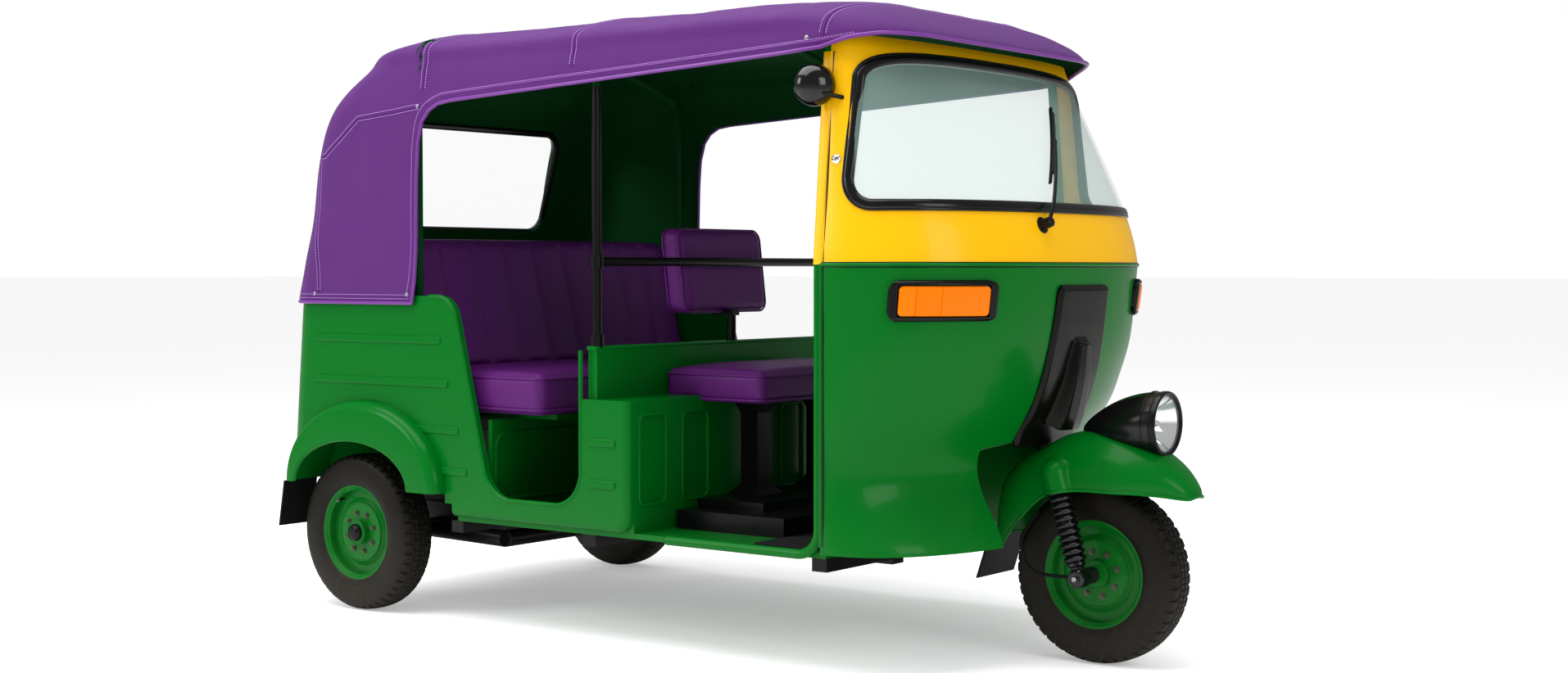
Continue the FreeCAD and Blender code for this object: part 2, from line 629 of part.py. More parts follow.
COWL_SHARES = ((0.2626, 0.70, 1.8), (0.4242, 0.70, 1.8), (0.5616, 0.72, 1.8),
               (0.6303, 0.81, 2.1), (0.697, 0.875, 2.25), (0.7556, 0.915, 2.4),
               (0.8687, 0.968, 2.5), (1.0, 1.0, 2.55), (1.0606, 1.01, 2.55))
UPPER_SHARES = ((0.9394, 1.0, 2.55), (1.0, 1.0, 2.55), (1.1212, 0.93, 2.5), (1.3131, 0.66, 2.5),
                (1.5152, 0.30, 2.5), (1.6162, 0.12, 2.5))


def cowl_section(z, reach_share, power, inset, steps=16):
    """A plan section of the nose: a superellipse from one pillar round to the other."""
    lean = max(0.0, (float(z) - float(S.belt_z)) / (float(S.cowl_top_z) - float(S.belt_z)))
    half = float(S.side_y) + (float(S.upper_half) - float(S.side_y)) * lean - float(inset)
    root = float(S.pillar_x) - float(S.root_lean) * lean
    reach = float(S.nose_reach) * reach_share - float(inset)
    points = []
    for step in range(steps + 1):
        angle = math.pi * (step / steps - 0.5)
        across = math.copysign(abs(math.sin(angle)) ** (2 / power), angle)
        along = max(0.0, math.cos(angle)) ** (2 / power)
        points.append(vec(root + reach * along, half * across, z))
    nose = Part.BSplineCurve()
    nose.interpolate(points)
    back = root - float(S.cut_over) if inset else root
    first, last = points[0], points[-1]
    if not inset:
        return Part.Wire([nose.toShape(), Part.LineSegment(last, first).toShape()])
    corner_a, corner_b = vec(back, last.y, z), vec(back, first.y, z)
    return Part.Wire([nose.toShape(), Part.LineSegment(last, corner_a).toShape(),
                      Part.LineSegment(corner_a, corner_b).toShape(),
                      Part.LineSegment(corner_b, first).toShape()])


def cowl_body(rows, inset):
    """The nose's volume through the rows' sections, drawn in by the inset."""
    return Part.makeLoft([cowl_section(S.belt_z * up_share, reach_share, power, inset)
                          for up_share, reach_share, power in rows], True)


def cowl_shell(rows, low, high):
    """The nose's sheet between two heights."""
    trim = box_shape((0, -S.width / 2, low), (S.length / 2, S.width / 2, high))
    return cowl_body(rows, 0).common(trim).cut(cowl_body(rows, S.cowl_sheet))


def column_at(z):
    """The steering axis at height z."""
    return vec(float(S.trail_foot_x) - float(z) * math.tan(math.radians(float(S.rake))), 0, z)


def steer_cylinder(radius, low, high):
    return rod(radius, column_at(low), column_at(high))


# the cowl's lower edge, as shares of its reach and of the sill's height
COWL_EDGE_SHARES = ((0.084, 1.0), (0.236, 0.985), (0.506, 1.05), (1.18, 1.25))


def front_cowl():
    """The green nose, open behind, with the wheel arch and the rising bottom edge cut."""
    shell = cowl_shell(COWL_SHARES, S.floor_z, S.belt_z)
    arch = steer_cylinder(S.arch_radius, 0, S.arch_top)
    over = S.cut_over
    edge = [(S.pillar_x + S.nose_reach * along, S.sill_z * up) for along, up in COWL_EDGE_SHARES]
    foot = side_prism([(S.pillar_x - over, S.sill_z)] + edge + [(edge[-1][0], S.sill_z - over * 2),
                       (S.pillar_x - over, S.sill_z - over * 2)],
                      -(S.side_y + over), S.side_y + over)
    column_way = steer_cylinder(S.column_radius + S.lid_gap, S.column_low, S.head_low)
    return node("front_cowl", feature("front_cowl", shell.cut(arch).cut(foot).cut(column_way)))


def window_prism(grow):
    """The windscreen's outline in side view, with two round rear corners."""
    far = S.pillar_x + S.nose_reach * 1.5
    rise = (far - S.window_x) * S.window_rise
    points = [(S.window_x - grow, S.window_low - grow), (far, S.window_low - grow),
              (far, S.window_high + grow + rise), (S.window_x - grow, S.window_high + grow)]
    return side_prism(points, -S.width / 2, S.width / 2,
                      [(0, S.window_round + grow), (3, S.window_round + grow)])


def upper_cowl():
    """The yellow windscreen surround, its screen, and the rubber seal between them."""
    shell = cowl_shell(UPPER_SHARES, S.belt_z, S.cowl_top_z)
    node("windscreen_surround", feature("windscreen_surround", shell.cut(window_prism(-S.seal_width / 2))))
    window = window_prism(-S.seal_width / 2)
    seal_shell = shell.common(window).cut(window_prism(-S.seal_width))
    glass = shell.common(window_prism(-S.seal_width))
    node("windscreen", feature("windscreen", glass))
    return seal_shell


# Canopy

# height, half width, rear, front, rear corner and front corner, from the hem up
HOOD_SHARES = ((0.0, 1.0, 1.0, 0.81, 0.1787, 0.1787), (0.032, 1.0, 1.0, 0.81, 0.1787, 0.1787),
               (0.26, 1.0, 0.957, 0.82, 0.1787, 0.1787), (0.49, 1.0, 0.935, 0.835, 0.1868, 0.2),
               (0.65, 1.0, 0.905, 0.87, 0.2031, 0.28), (0.75, 0.985, 0.868, 0.945, 0.2437, 0.36),
               (0.83, 0.965, 0.82, 1.0, 0.2924, 0.39), (0.90, 0.93, 0.77, 0.905, 0.3086, 0.38),
               (0.95, 0.72, 0.60, 0.78, 0.2924, 0.32), (0.98, 0.45, 0.36, 0.60, 0.2437, 0.25),
               (1.0, 0.16, 0.12, 0.30, 0.0975, 0.0975))
SHOULDER_SHARE = 0.75


def hood_rear():
    """The fabric's rear face, just behind the tub's sloping wall at the hem."""
    return tub_rear_x(S.hem_z) - S.sheet_gap - S.hood_sheet


def hood_section(row, inset):
    """A plan section of the canopy: a rectangle with round corners."""
    height_share, half_share, rear_share, front_share, back_share, corner_share = row
    z = float(S.hem_z) + (float(S.height) - float(S.hem_z)) * height_share
    drop = inset * max(0.0, (height_share - SHOULDER_SHARE) / (1 - SHOULDER_SHARE))
    half = float(S.hood_half) * half_share - inset
    rear = float(hood_rear()) * rear_share + inset
    front = float(S.hood_front) * front_share - inset
    radii = [max(float(S.hood_half) * share - inset, inset) for share in (back_share, corner_share)]
    return rounded_plan(rear, front, half, radii, z - drop)


def rounded_plan(rear, front, half, radii, z):
    """A rectangle at height z; radii are the two rear corners' and the two front corners'."""
    edges = []
    corners = ((rear, -half, 1, 1), (front, -half, -1, 1), (front, half, -1, -1), (rear, half, 1, -1))
    starts, ends, middles = [], [], []
    for index, (x, y, way_x, way_y) in enumerate(corners):
        radius = radii[0] if way_x > 0 else radii[1]
        swing = radius * (1 - math.sqrt(0.5))
        along, across = vec(x + way_x * radius, y, z), vec(x, y + way_y * radius, z)
        first, second = (across, along) if index % 2 == 0 else (along, across)
        starts.append(first)
        ends.append(second)
        middles.append(vec(x + way_x * swing, y + way_y * swing, z))
    for index in range(4):
        edges.append(Part.Arc(starts[index], middles[index], ends[index]).toShape())
        edges.append(Part.LineSegment(ends[index], starts[(index + 1) % 4]).toShape())
    return Part.Wire(edges)


def hood_solid(inset):
    wires = [hood_section(row, inset) for row in HOOD_SHARES]
    if inset:
        front_share, back_share, corner_share = HOOD_SHARES[0][3:]
        radii = [float(S.hood_half) * share - inset for share in (back_share, corner_share)]
        below = rounded_plan(float(hood_rear()) + inset, float(S.hood_front) * front_share - inset,
                             float(S.hood_half) - inset, radii, float(S.hem_z) - float(S.cut_over))
        wires = [below] + wires
    return Part.makeLoft(wires, True, True)


def canopy():
    """One fabric hood: roof, rear quarters and rear curtain, open over the doorways and front."""
    shell = hood_solid(0).cut(hood_solid(float(S.hood_sheet)))
    over = S.cut_over * 4
    sides = side_prism([(S.quarter_x, S.hem_z - over), (S.hood_front + over, S.hem_z - over),
                        (S.hood_front + over, S.visor_z + S.hood_sheet * 2),
                        (S.window_x + S.cut_over, S.visor_z + S.hood_sheet),
                        (S.pillar_x - S.cut_over, S.visor_z - S.hood_sheet),
                        (S.quarter_x, S.edge_rear_z)],
                       -S.width / 2 * 1.2, S.width / 2 * 1.2, [(5, S.quarter_round)])
    window = box_shape((hood_rear() - over, -S.rear_win_half, S.rear_win_low),
                       (hood_rear() + over * 2, S.rear_win_half, S.rear_win_high))
    corner_edges = [edge for edge in window.Edges if edge.BoundBox.XLength > float(over)]
    window = window.makeFillet(float(S.rear_win_round), corner_edges)
    cover = shell.cut(sides)
    node("canopy", feature("canopy", cover.cut(window)))
    glass_half = S.rear_win_half - S.seal_width
    inner_window = box_shape((hood_rear() - over, -glass_half, S.rear_win_low + S.seal_width),
                             (hood_rear() + over * 2, glass_half, S.rear_win_high - S.seal_width))
    inner_edges = [edge for edge in inner_window.Edges if edge.BoundBox.XLength > float(over)]
    inner_window = inner_window.makeFillet(float(S.rear_win_round - S.seal_width * 0.8), inner_edges)
    panel = shell.common(window)
    node("rear_window", feature("rear_window", panel.common(inner_window)))
    return panel.cut(inner_window)


def roof_bow(x, foot_z, drop):
    """A hoop from one side up over the roof and down the other: two posts and a long arc."""
    half = float(S.post_y)
    crown = float(S.height) - float(S.hood_sheet) - float(S.bow_radius) - float(S.bow_gap) - float(drop)
    rise = float(S.height) - float(S.hem_z)
    sag = rise * float(S.bow_sag_share)
    small = rise * float(S.bow_knee_share)
    reach = half - small
    long_radius = (reach * reach + sag * sag) / (2 * sag)
    centre_z = crown - long_radius
    run = math.sqrt((long_radius - small) ** 2 - (half - small) ** 2)
    knee_z = centre_z + run
    scale = long_radius / (long_radius - small)
    touch_y, touch_z = (half - small) * scale, centre_z + run * scale
    edges = []
    mid_angle = (math.atan2(run, half - small)) / 2
    knee_mid = vec(x, half - small + small * math.cos(mid_angle), knee_z + small * math.sin(mid_angle))
    edges.append(Part.LineSegment(vec(x, half, foot_z), vec(x, half, knee_z)).toShape())
    edges.append(Part.Arc(vec(x, half, knee_z), knee_mid, vec(x, touch_y, touch_z)).toShape())
    edges.append(Part.Arc(vec(x, touch_y, touch_z), vec(x, 0, crown), vec(x, -touch_y, touch_z)).toShape())
    other = vec(x, -knee_mid.y, knee_mid.z)
    edges.append(Part.Arc(vec(x, -touch_y, touch_z), other, vec(x, -half, knee_z)).toShape())
    edges.append(Part.LineSegment(vec(x, -half, knee_z), vec(x, -half, foot_z)).toShape())
    path = Part.Wire(edges)
    ring = Part.Wire(Part.Circle(vec(x, half, foot_z), vec(0, 0, 1), float(S.bow_radius)).toShape())
    return path.makePipeShell([ring], True, False)


def hood_frame():
    """The hoops that carry the fabric."""
    hoops = [roof_bow(S.post_x, S.edge_rear_z + S.hood_sheet * 2, 0),
             roof_bow(S.quarter_x - S.bow_back, S.tub_top_z, S.bow_drop)]
    return node("hood_frame", feature("hood_frame", Part.makeCompound(hoops)))


def hand_rails():
    """Two posts on the partition with sleeves, and the rail between them."""
    top = S.edge_rear_z + S.hood_sheet * 2 - S.sheet_gap
    foot = S.partition_z + S.sheet_gap
    shapes = [rod(S.post_radius, vec(S.post_x, -S.post_y, S.rail_z), vec(S.post_x, S.post_y, S.rail_z))]
    for way in (-1, 1):
        y = S.post_y * way
        shapes.append(rod(S.post_radius, vec(S.post_x, y, foot), vec(S.post_x, y, top)))
        shapes.append(rod(S.sleeve_radius, vec(S.post_x, y, foot), vec(S.post_x, y, foot + S.sleeve_long)))
        shapes.append(rod(S.sleeve_radius, vec(S.post_x, y, S.rail_z - S.sleeve_long / 2),
                          vec(S.post_x, y, S.rail_z + S.sleeve_long / 2)))
    whole = shapes[0].multiFuse(shapes[1:])
    return node("hand_rails", feature("hand_rails", whole))


# Seats

def pad_solid(low, high, rounding):
    solid = box_shape(low, high)
    return solid.makeFillet(float(rounding), solid.Edges)


def seats():
    node("bench_cushion", feature("bench_cushion", pad_solid(
        (S.bench_rear, -S.seat_half, S.bench_low), (S.bench_front, S.seat_half, S.bench_high),
        S.cushion_round)))
    low_x, high_x = S.back_low_x, S.back_high_x
    back = side_prism([(low_x, S.back_low), (high_x, S.back_high),
                       (high_x - S.back_thick, S.back_high), (low_x - S.back_thick, S.back_low)],
                      -S.seat_half, S.seat_half)
    node("bench_back", feature("bench_back", back.makeFillet(float(S.cushion_round), back.Edges)))
    deck_low = S.bench_low - S.base_sheet - S.sheet_gap
    front = box("bench_front_sheet", (S.base_front - S.base_sheet, -(S.side_y - S.wall), S.floor_z),
                (S.base_front, S.side_y - S.wall, deck_low))
    deck = box("bench_deck", (S.bench_rear - S.back_thick, -(S.guard_inner_y - S.sheet_gap), deck_low),
               (S.deck_front, S.guard_inner_y - S.sheet_gap, S.bench_low - S.sheet_gap))
    behind = S.back_thick + S.sheet_gap
    far_behind = behind + S.base_sheet
    board = feature("bench_board", side_prism(
        [(low_x - behind, deck_low), (low_x - behind, S.back_low), (high_x - behind, S.back_high),
         (high_x - far_behind, S.back_high), (low_x - far_behind, S.back_low),
         (low_x - far_behind, deck_low)],
        -(S.guard_inner_y - S.sheet_gap), S.guard_inner_y - S.sheet_gap))
    node("bench_base", fuse("bench_base", [front, deck, board]))
    node("driver_cushion", feature("driver_cushion", pad_solid(
        (S.partition_x + S.partition_sheet + S.sheet_gap, -S.driver_half, S.driver_low),
        (S.driver_front, S.driver_half, S.driver_high), S.cushion_round)))
    rest = pad_solid((S.rest_x - S.rest_thick, -S.rest_half, S.rest_low),
                     (S.rest_x, S.rest_half, S.rest_high), S.cushion_round)
    node("driver_backrest", feature("driver_backrest", rest))


def driver_seat_frame():
    """Two flared legs with brackets under the cushion, and the backrest's stem."""
    shapes = []
    for way in (-1, 1):
        middle = S.leg_y * way
        half = S.leg_half
        flare = S.foot_flare
        levels = ((S.plinth_z + S.plinth_step, flare), (S.plinth_z + flare * 2, 0),
                  (S.bracket_z, 0), (S.driver_low - S.sheet_gap, flare))
        wires = []
        for z, grow in levels:
            wires.append(Part.makePolygon([
                vec(S.leg_rear - grow, middle - half - grow, z), vec(S.leg_front + grow, middle - half - grow, z),
                vec(S.leg_front + grow, middle + half + grow, z), vec(S.leg_rear - grow, middle + half + grow, z),
                vec(S.leg_rear - grow, middle - half - grow, z)]))
        shapes.append(Part.makeLoft(wires, True, True))
    stem_x = S.partition_x + S.partition_sheet / 2
    stem = rod(S.stem_radius * 0.8, vec(stem_x, 0, S.partition_z), vec(stem_x, 0, S.rest_low))
    arm = box_shape((S.rest_x - S.rest_thick / 2, -S.stem_radius, S.rest_low - S.stem_radius),
                    (stem_x + S.stem_radius, S.stem_radius, S.rest_low - S.sheet_gap))
    whole = Part.makeCompound(shapes + [stem.fuse(arm)])
    return node("driver_seat_frame", feature("driver_seat_frame", whole))


def driver_plinth():
    lower = box("plinth_lower", (S.plinth_rear, -S.plinth_half, S.floor_z),
                (S.plinth_front, S.plinth_half, S.plinth_z))
    step = S.plinth_step
    upper = box("plinth_upper", (S.plinth_rear, -(S.plinth_half - step * 4), S.plinth_z),
                (S.plinth_front - step * 6, S.plinth_half - step * 4, S.plinth_z + step))
    return node("driver_plinth", fuse("driver_plinth", [lower, upper]))


def dash_panel():
    """The inner nose: toe board, arch cover and dash shelf as one folded sheet."""
    sheet = S.cowl_sheet
    high = S.arch_top + S.cut_over
    face_x = S.pillar_x + S.nose_reach * S.dash_face_share
    front_x = S.pillar_x + S.nose_reach * S.dash_front_share
    points = [(S.pillar_x, S.floor_z), (S.pillar_x + sheet, S.floor_z), (S.pillar_x + sheet, high - sheet),
              (face_x, high - sheet), (face_x, S.belt_z - sheet), (front_x, S.belt_z - sheet),
              (front_x, S.belt_z), (face_x - sheet, S.belt_z), (face_x - sheet, high),
              (S.pillar_x, high)]
    panel = side_prism(points, -S.side_y, S.side_y)
    inside = cowl_body(COWL_SHARES, S.cowl_sheet + S.sheet_gap)
    hole = steer_cylinder(S.head_radius + S.sheet_gap, S.floor_z, S.column_top)
    arch = steer_cylinder(S.arch_radius, 0, S.arch_top)
    return node("dash_panel", feature("dash_panel", panel.common(inside).cut(hole).cut(arch)))


# Steering

def steering_column():
    """The column, its bent leg round the left of the wheel, and the axle stub."""
    head = steer_cylinder(S.column_radius, S.column_low, S.column_top)
    low = column_at(S.column_low)
    side = S.leg_side
    axle = vec(S.front_x, side, S.wheel_radius)
    knee = vec(low.x * 0.97, side, S.column_low * 0.98)
    leg = swept_tube(S.leg_radius, [column_at(S.column_low + S.leg_radius * 3), low, knee, axle],
                     [S.leg_radius * 1.6, S.leg_radius * 1.6])
    pin_end = S.damper_y + S.boss_half
    pin = rod(S.bore_radius - S.bore_gap, axle, vec(S.front_x, pin_end, S.wheel_radius))
    hub = rod(S.leg_radius * 1.3, vec(S.front_x, side - S.leg_radius, S.wheel_radius),
              vec(S.front_x, side + S.leg_radius, S.wheel_radius))
    return node("steering_column", feature("steering_column", head.multiFuse([leg, pin, hub])))


def head_tube():
    """The fixed tube that the column turns in, with its bracket to the dash."""
    outer = steer_cylinder(S.head_radius, S.head_low, S.head_high)
    bore = steer_cylinder(S.column_radius + S.steer_gap, S.head_low - S.cut_over, S.head_high + S.cut_over)
    return node("head_tube", feature("head_tube", outer.cut(bore)))


def handlebar():
    top = column_at(S.column_top)
    bar_z = S.column_top + S.pod_high / 2
    bar = rod(S.bar_radius, vec(top.x, -S.bar_half, bar_z), vec(top.x, S.bar_half, bar_z))
    grips = [rod(S.grip_radius, vec(top.x, S.bar_half * way, bar_z),
                 vec(top.x, (S.bar_half - S.grip_long) * way, bar_z)) for way in (-1, 1)]
    pod = box_shape((top.x - S.pod_high, -S.pod_half, S.column_top),
                    (top.x + S.pod_high, S.pod_half, S.column_top + S.pod_high))
    pod = pod.makeFillet(float(S.pod_high) * 0.3, pod.Edges)
    stem = steer_cylinder(S.column_radius + S.sheet_gap, S.head_high, S.column_top + S.pod_high / 2)
    whole = bar.multiFuse(grips + [pod]).cut(stem)
    return node("handlebar", feature("handlebar", whole))


FENDER_SHARES = ((28, 0.90, 0.93, 0.1), (38, 0.93, 0.972, 0.24), (48, 0.93, 1.01, 0.62),
                 (60, 0.82, 1.015, 0.86),
                 (74, 0.72, 0.995, 0.96), (90, 0.66, 0.985, 1.0), (105, 0.65, 0.995, 1.02),
                 (120, 0.67, 1.03, 1.02), (134, 0.80, 1.05, 1.0), (150, 0.82, 0.95, 0.92),
                 (164, 0.80, 0.86, 0.86), (176, 0.80, 0.80, 0.8))
FENDER_FRONT, FENDER_REAR = 37, 164


def fender_section(row, inset):
    """An arch across the tyre in a plane through the axle: two straight sides and a round top."""
    turn, low_share, crest_share, half_share = row
    angle = math.radians(turn)
    crest = float(S.fender_crest) * crest_share - inset
    low = min(float(S.fender_crest) * low_share, float(S.fender_crest) * crest_share * 0.96)
    half = float(S.fender_half) * half_share - inset
    spring = mix(low, crest, 0.5)
    if inset:
        low -= float(S.cut_over)

    def place(y, radius):
        return vec(float(S.front_x) + radius * math.cos(angle), y,
                   float(S.wheel_radius) + radius * math.sin(angle))

    corners = [place(-half * 1.04, low), place(-half, spring), place(0, crest), place(half, spring),
               place(half * 1.04, low)]
    return Part.Wire([Part.LineSegment(corners[0], corners[1]).toShape(),
                      Part.Arc(corners[1], corners[2], corners[3]).toShape(),
                      Part.LineSegment(corners[3], corners[4]).toShape(),
                      Part.LineSegment(corners[4], corners[0]).toShape()])


def fender_volume(inset):
    """The mudguard's volume between its front and rear ends."""
    whole = Part.makeLoft([fender_section(row, inset) for row in FENDER_SHARES], True)
    if inset:
        return whole
    reach = float(S.fender_crest) * 2
    axle = (float(S.front_x), float(S.wheel_radius))
    rim = [(axle[0] + reach * math.cos(math.radians(turn)), axle[1] + reach * math.sin(math.radians(turn)))
           for turn in (FENDER_FRONT, 90, FENDER_REAR)]
    return whole.common(side_prism([axle] + rim, -S.width / 2, S.width / 2))


def damper_foot():
    return vec(S.front_x, S.damper_y, S.wheel_radius)


def damper_head():
    return vec(S.damper_top_x, S.damper_y, S.damper_top_z)


def headlamp_profile(inset):
    """Half of the teardrop shell, from the rim back to its tail, as (x, radius)."""
    radius = float(S.lamp_radius) - inset
    x, back = float(S.lamp_x), float(S.lamp_back) + inset
    shares = ((0.0, 1.0), (0.10, 1.03), (0.28, 0.98), (0.5, 0.86), (0.7, 0.66), (0.86, 0.42),
              (0.96, 0.2), (1.0, 0.0))
    return [(x + (back - x) * along, radius * across) for along, across in shares]


def lamp_solid(inset):
    points = headlamp_profile(inset)
    curve = Part.BSplineCurve()
    curve.interpolate([vec(x, 0, S.lamp_z + radius) for x, radius in points])
    front, back = points[0], points[-1]
    axis_front, axis_back = vec(front[0], 0, S.lamp_z), vec(back[0], 0, S.lamp_z)
    wire = Part.Wire([curve.toShape(), Part.LineSegment(axis_back, axis_front).toShape(),
                      Part.LineSegment(axis_front, vec(front[0], 0, S.lamp_z + front[1])).toShape()])
    return Part.Face(wire).revolve(vec(0, 0, S.lamp_z), vec(1, 0, 0), 360)


def front_end():
    """The mudguard with its damper tower, and the headlamp that stands on it."""
    outer = fender_volume(0)
    tower_low = damper_head() + (damper_foot() - damper_head()).normalize() * float(S.tower_down)
    tower_top = damper_head() + (damper_head() - damper_foot()).normalize() * float(S.tower_up)
    solid = outer.fuse(rod(S.tower_radius, tower_low, tower_top))
    drop = vec(0, 0, S.fender_sheet)
    inner = fender_volume(float(S.fender_sheet)).fuse(
        rod(S.tower_radius - S.fender_sheet, tower_low - drop, tower_top - drop))
    column_hole = steer_cylinder(S.column_radius + S.sheet_gap, S.column_low / 2, S.column_top)
    node("front_mudguard", feature("front_mudguard", solid.cut(inner).cut(column_hole)))
    hollow = lamp_solid(float(S.fender_sheet))
    hollow.translate(vec(S.fender_sheet, 0, 0))
    node("headlamp_shell", feature("headlamp_shell", lamp_solid(0).cut(hollow).cut(outer)))
    lens_radius = float(S.lamp_radius - S.fender_sheet)
    bulge = float(S.lens_bulge)
    ball = (lens_radius ** 2 + bulge ** 2) / (2 * bulge)
    cap = Part.makeSphere(ball, vec(float(S.lamp_x) + bulge - ball, 0, S.lamp_z))
    slab = Part.makeCylinder(lens_radius - float(S.lens_gap), bulge * 2,
                              vec(S.lamp_x - S.fender_sheet, 0, S.lamp_z), vec(1, 0, 0))
    node("headlamp_lens", feature("headlamp_lens", cap.common(slab)))


def front_flap():
    """The rubber flap behind the front wheel, hung in the mudguard's rear end."""
    angle = math.radians(FENDER_REAR)
    crest = float(S.fender_crest) * float(S.flap_crest_share)
    top_x = float(S.front_x) + crest * math.cos(angle)
    top_z = float(S.wheel_radius) + crest * math.sin(angle)
    sheet = float(S.flap_sheet)
    top_z -= float(S.flap_drop)
    low_x = top_x - float(S.flap_lean)
    points = [(top_x, top_z), (top_x + sheet, top_z), (low_x, float(S.front_flap_low)),
              (low_x - sheet, float(S.front_flap_low))]
    shape = side_prism(points, -S.flap_front_half, S.flap_front_half)
    return node("front_flap", feature("front_flap", shape))


def damper():
    """Boss on the axle, bellows-ribbed coil and upper stem."""
    foot, head = damper_foot(), damper_head()
    way = (head - foot).normalize()
    boss = rod(S.boss_radius, foot - vec(0, S.boss_half, 0), foot + vec(0, S.boss_half, 0))
    start = foot + way * float(S.boss_radius) * 1.2
    length = (head - start).Length
    turns = int(float(S.coil_turns))
    pitch = length / turns
    points = [FreeCAD.Vector(0, 0, 0), FreeCAD.Vector(float(S.coil_core), 0, 0)]
    for turn in range(turns):
        points.append(FreeCAD.Vector(float(S.coil_radius), 0, pitch * (turn + 0.5)))
        points.append(FreeCAD.Vector(float(S.coil_core), 0, pitch * (turn + 1)))
    points.append(FreeCAD.Vector(0, 0, length))
    face = Part.Face(Part.makePolygon(points + points[:1]))
    coil = face.revolve(FreeCAD.Vector(0, 0, 0), FreeCAD.Vector(0, 0, 1), 360)
    coil.Placement = FreeCAD.Placement(start, FreeCAD.Rotation(FreeCAD.Vector(0, 0, 1), way))
    stem = rod(S.coil_core * 0.7, foot, start + way)
    return node("damper", feature("damper", boss.multiFuse([stem, coil])))


HOSE_BENDS = (55, 60, 50)


def brake_hose():
    y = S.damper_y - S.boss_half * 0.3
    points = [vec(S.damper_top_x * 0.935, S.damper_y * 0.8, S.damper_top_z * 0.83),
              vec(S.damper_top_x * 0.90, y, S.damper_top_z * 0.68),
              vec(S.damper_top_x * 0.915, y, S.damper_top_z * 0.50),
              vec(S.damper_top_x * 0.985, y, S.wheel_radius),
              vec(S.front_x - S.boss_radius - S.sheet_gap, y, S.wheel_radius)]
    hose = swept_tube(S.hose_radius, points, HOSE_BENDS)
    return node("brake_hose", feature("brake_hose", hose))


# Trim and lamps

def garnish():
    """The black centre piece down the nose, widening a little downwards, with a raised rib."""
    base = cowl_body(COWL_SHARES, -float(S.sheet_gap))
    foot_half = S.garnish_half + S.garnish_flare
    outline_points = ((S.garnish_half, S.garnish_top), (foot_half, S.garnish_low),
                      (0, S.garnish_low + S.garnish_flare))
    corners = [vec(0, -y, z) for y, z in outline_points] + [vec(0, y, z) for y, z in outline_points[1::-1]]
    prism = Part.Face(Part.makePolygon(corners + corners[:1])).extrude(vec(S.length / 2, 0, 0))
    front = box_shape((S.pillar_x + S.nose_reach / 2, -S.rib_half, S.rib_low),
                      (S.length / 2, S.rib_half, S.rib_high))
    plate = cowl_body(COWL_SHARES, -float(S.garnish_proud)).cut(base).common(prism)
    rib = cowl_body(COWL_SHARES, -float(S.rib_proud)).cut(base).common(front)
    ahead = box_shape((S.pillar_x + S.nose_reach / 2, -S.width / 2, S.floor_z),
                      (S.length / 2, S.width / 2, S.belt_z))
    return node("nose_garnish", feature("nose_garnish", plate.fuse(rib).common(ahead)))


def indicator_block(inset):
    """A block through the right shoulder of the cowl, its four long corners rounded."""
    high, long = S.indicator_high - inset, S.indicator_long - inset
    block = box_shape((S.pillar_x, -(S.indicator_y + long), S.indicator_z - high),
                      (S.pillar_x + S.nose_reach * 2, -(S.indicator_y - long), S.indicator_z + high))
    edges = [edge for edge in block.Edges if edge.BoundBox.XLength > float(S.nose_reach)]
    return block.makeFillet(float(S.indicator_round - inset / 2), edges)


def indicators():
    """Rounded bezels round the cowl's shoulders with their lenses set in."""
    seat = cowl_body(COWL_SHARES, -float(S.sheet_gap))
    core = indicator_block(S.bezel_width)
    lens_core = indicator_block(S.bezel_width + S.sheet_gap)
    bezel = feature("bezel_right", cowl_body(COWL_SHARES, -float(S.bezel_proud)).cut(seat)
                    .common(indicator_block(S.sheet_gap)).cut(core))
    lens = feature("lens_right", cowl_body(COWL_SHARES, -float(S.indicator_proud)).cut(seat)
                   .common(lens_core))
    node("indicator_bezels", group("indicator_bezels", [bezel, mirrored("bezel_left", bezel)]))
    node("indicator_lenses", group("indicator_lenses", [lens, mirrored("lens_left", lens)]))


def mirror():
    """The driver's round mirror: a domed back and a rim, on a short arm from the surround."""
    radius = float(S.mirror_radius)
    rim, depth = float(S.mirror_rim), float(S.mirror_depth)
    bulge = vec((depth - rim) * math.sqrt(0.5) + rim, 0, radius * math.sqrt(0.5))
    dome = Part.BSplineCurve()
    dome.interpolate([vec(rim, 0, radius), bulge, vec(depth, 0, 0)])
    profile = Part.Wire([dome.toShape(), Part.LineSegment(vec(depth, 0, 0), vec(0, 0, 0)).toShape(),
                         Part.LineSegment(vec(0, 0, 0), vec(0, 0, radius)).toShape(),
                         Part.LineSegment(vec(0, 0, radius), vec(rim, 0, radius)).toShape()])
    back = Part.Face(profile).revolve(vec(0, 0, 0), vec(1, 0, 0), 360)
    centre = vec(S.mirror_x, S.mirror_radius - S.width / 2, S.mirror_z)
    back.translate(centre)
    start = centre + vec(S.stalk_ahead, 0, 0)
    arm = rod(S.stalk_radius, start, vec(start.x, -S.upper_half, start.z))
    return node("mirror", feature("mirror", back.fuse(arm.cut(cowl_body(UPPER_SHARES, -S.sheet_gap)))))


def tail_lamps():
    shapes = []
    for way in (-1, 1):
        x = tub_rear_x(S.tail_z - S.tail_radius) - S.sheet_gap - S.lamp_depth
        centre = vec(x, S.tail_y * way, S.tail_z)
        shapes.append(Part.makeCylinder(float(S.tail_radius), float(S.lamp_depth), centre, vec(1, 0, 0)))
    return node("tail_lamps", feature("tail_lamps", Part.makeCompound(shapes)))


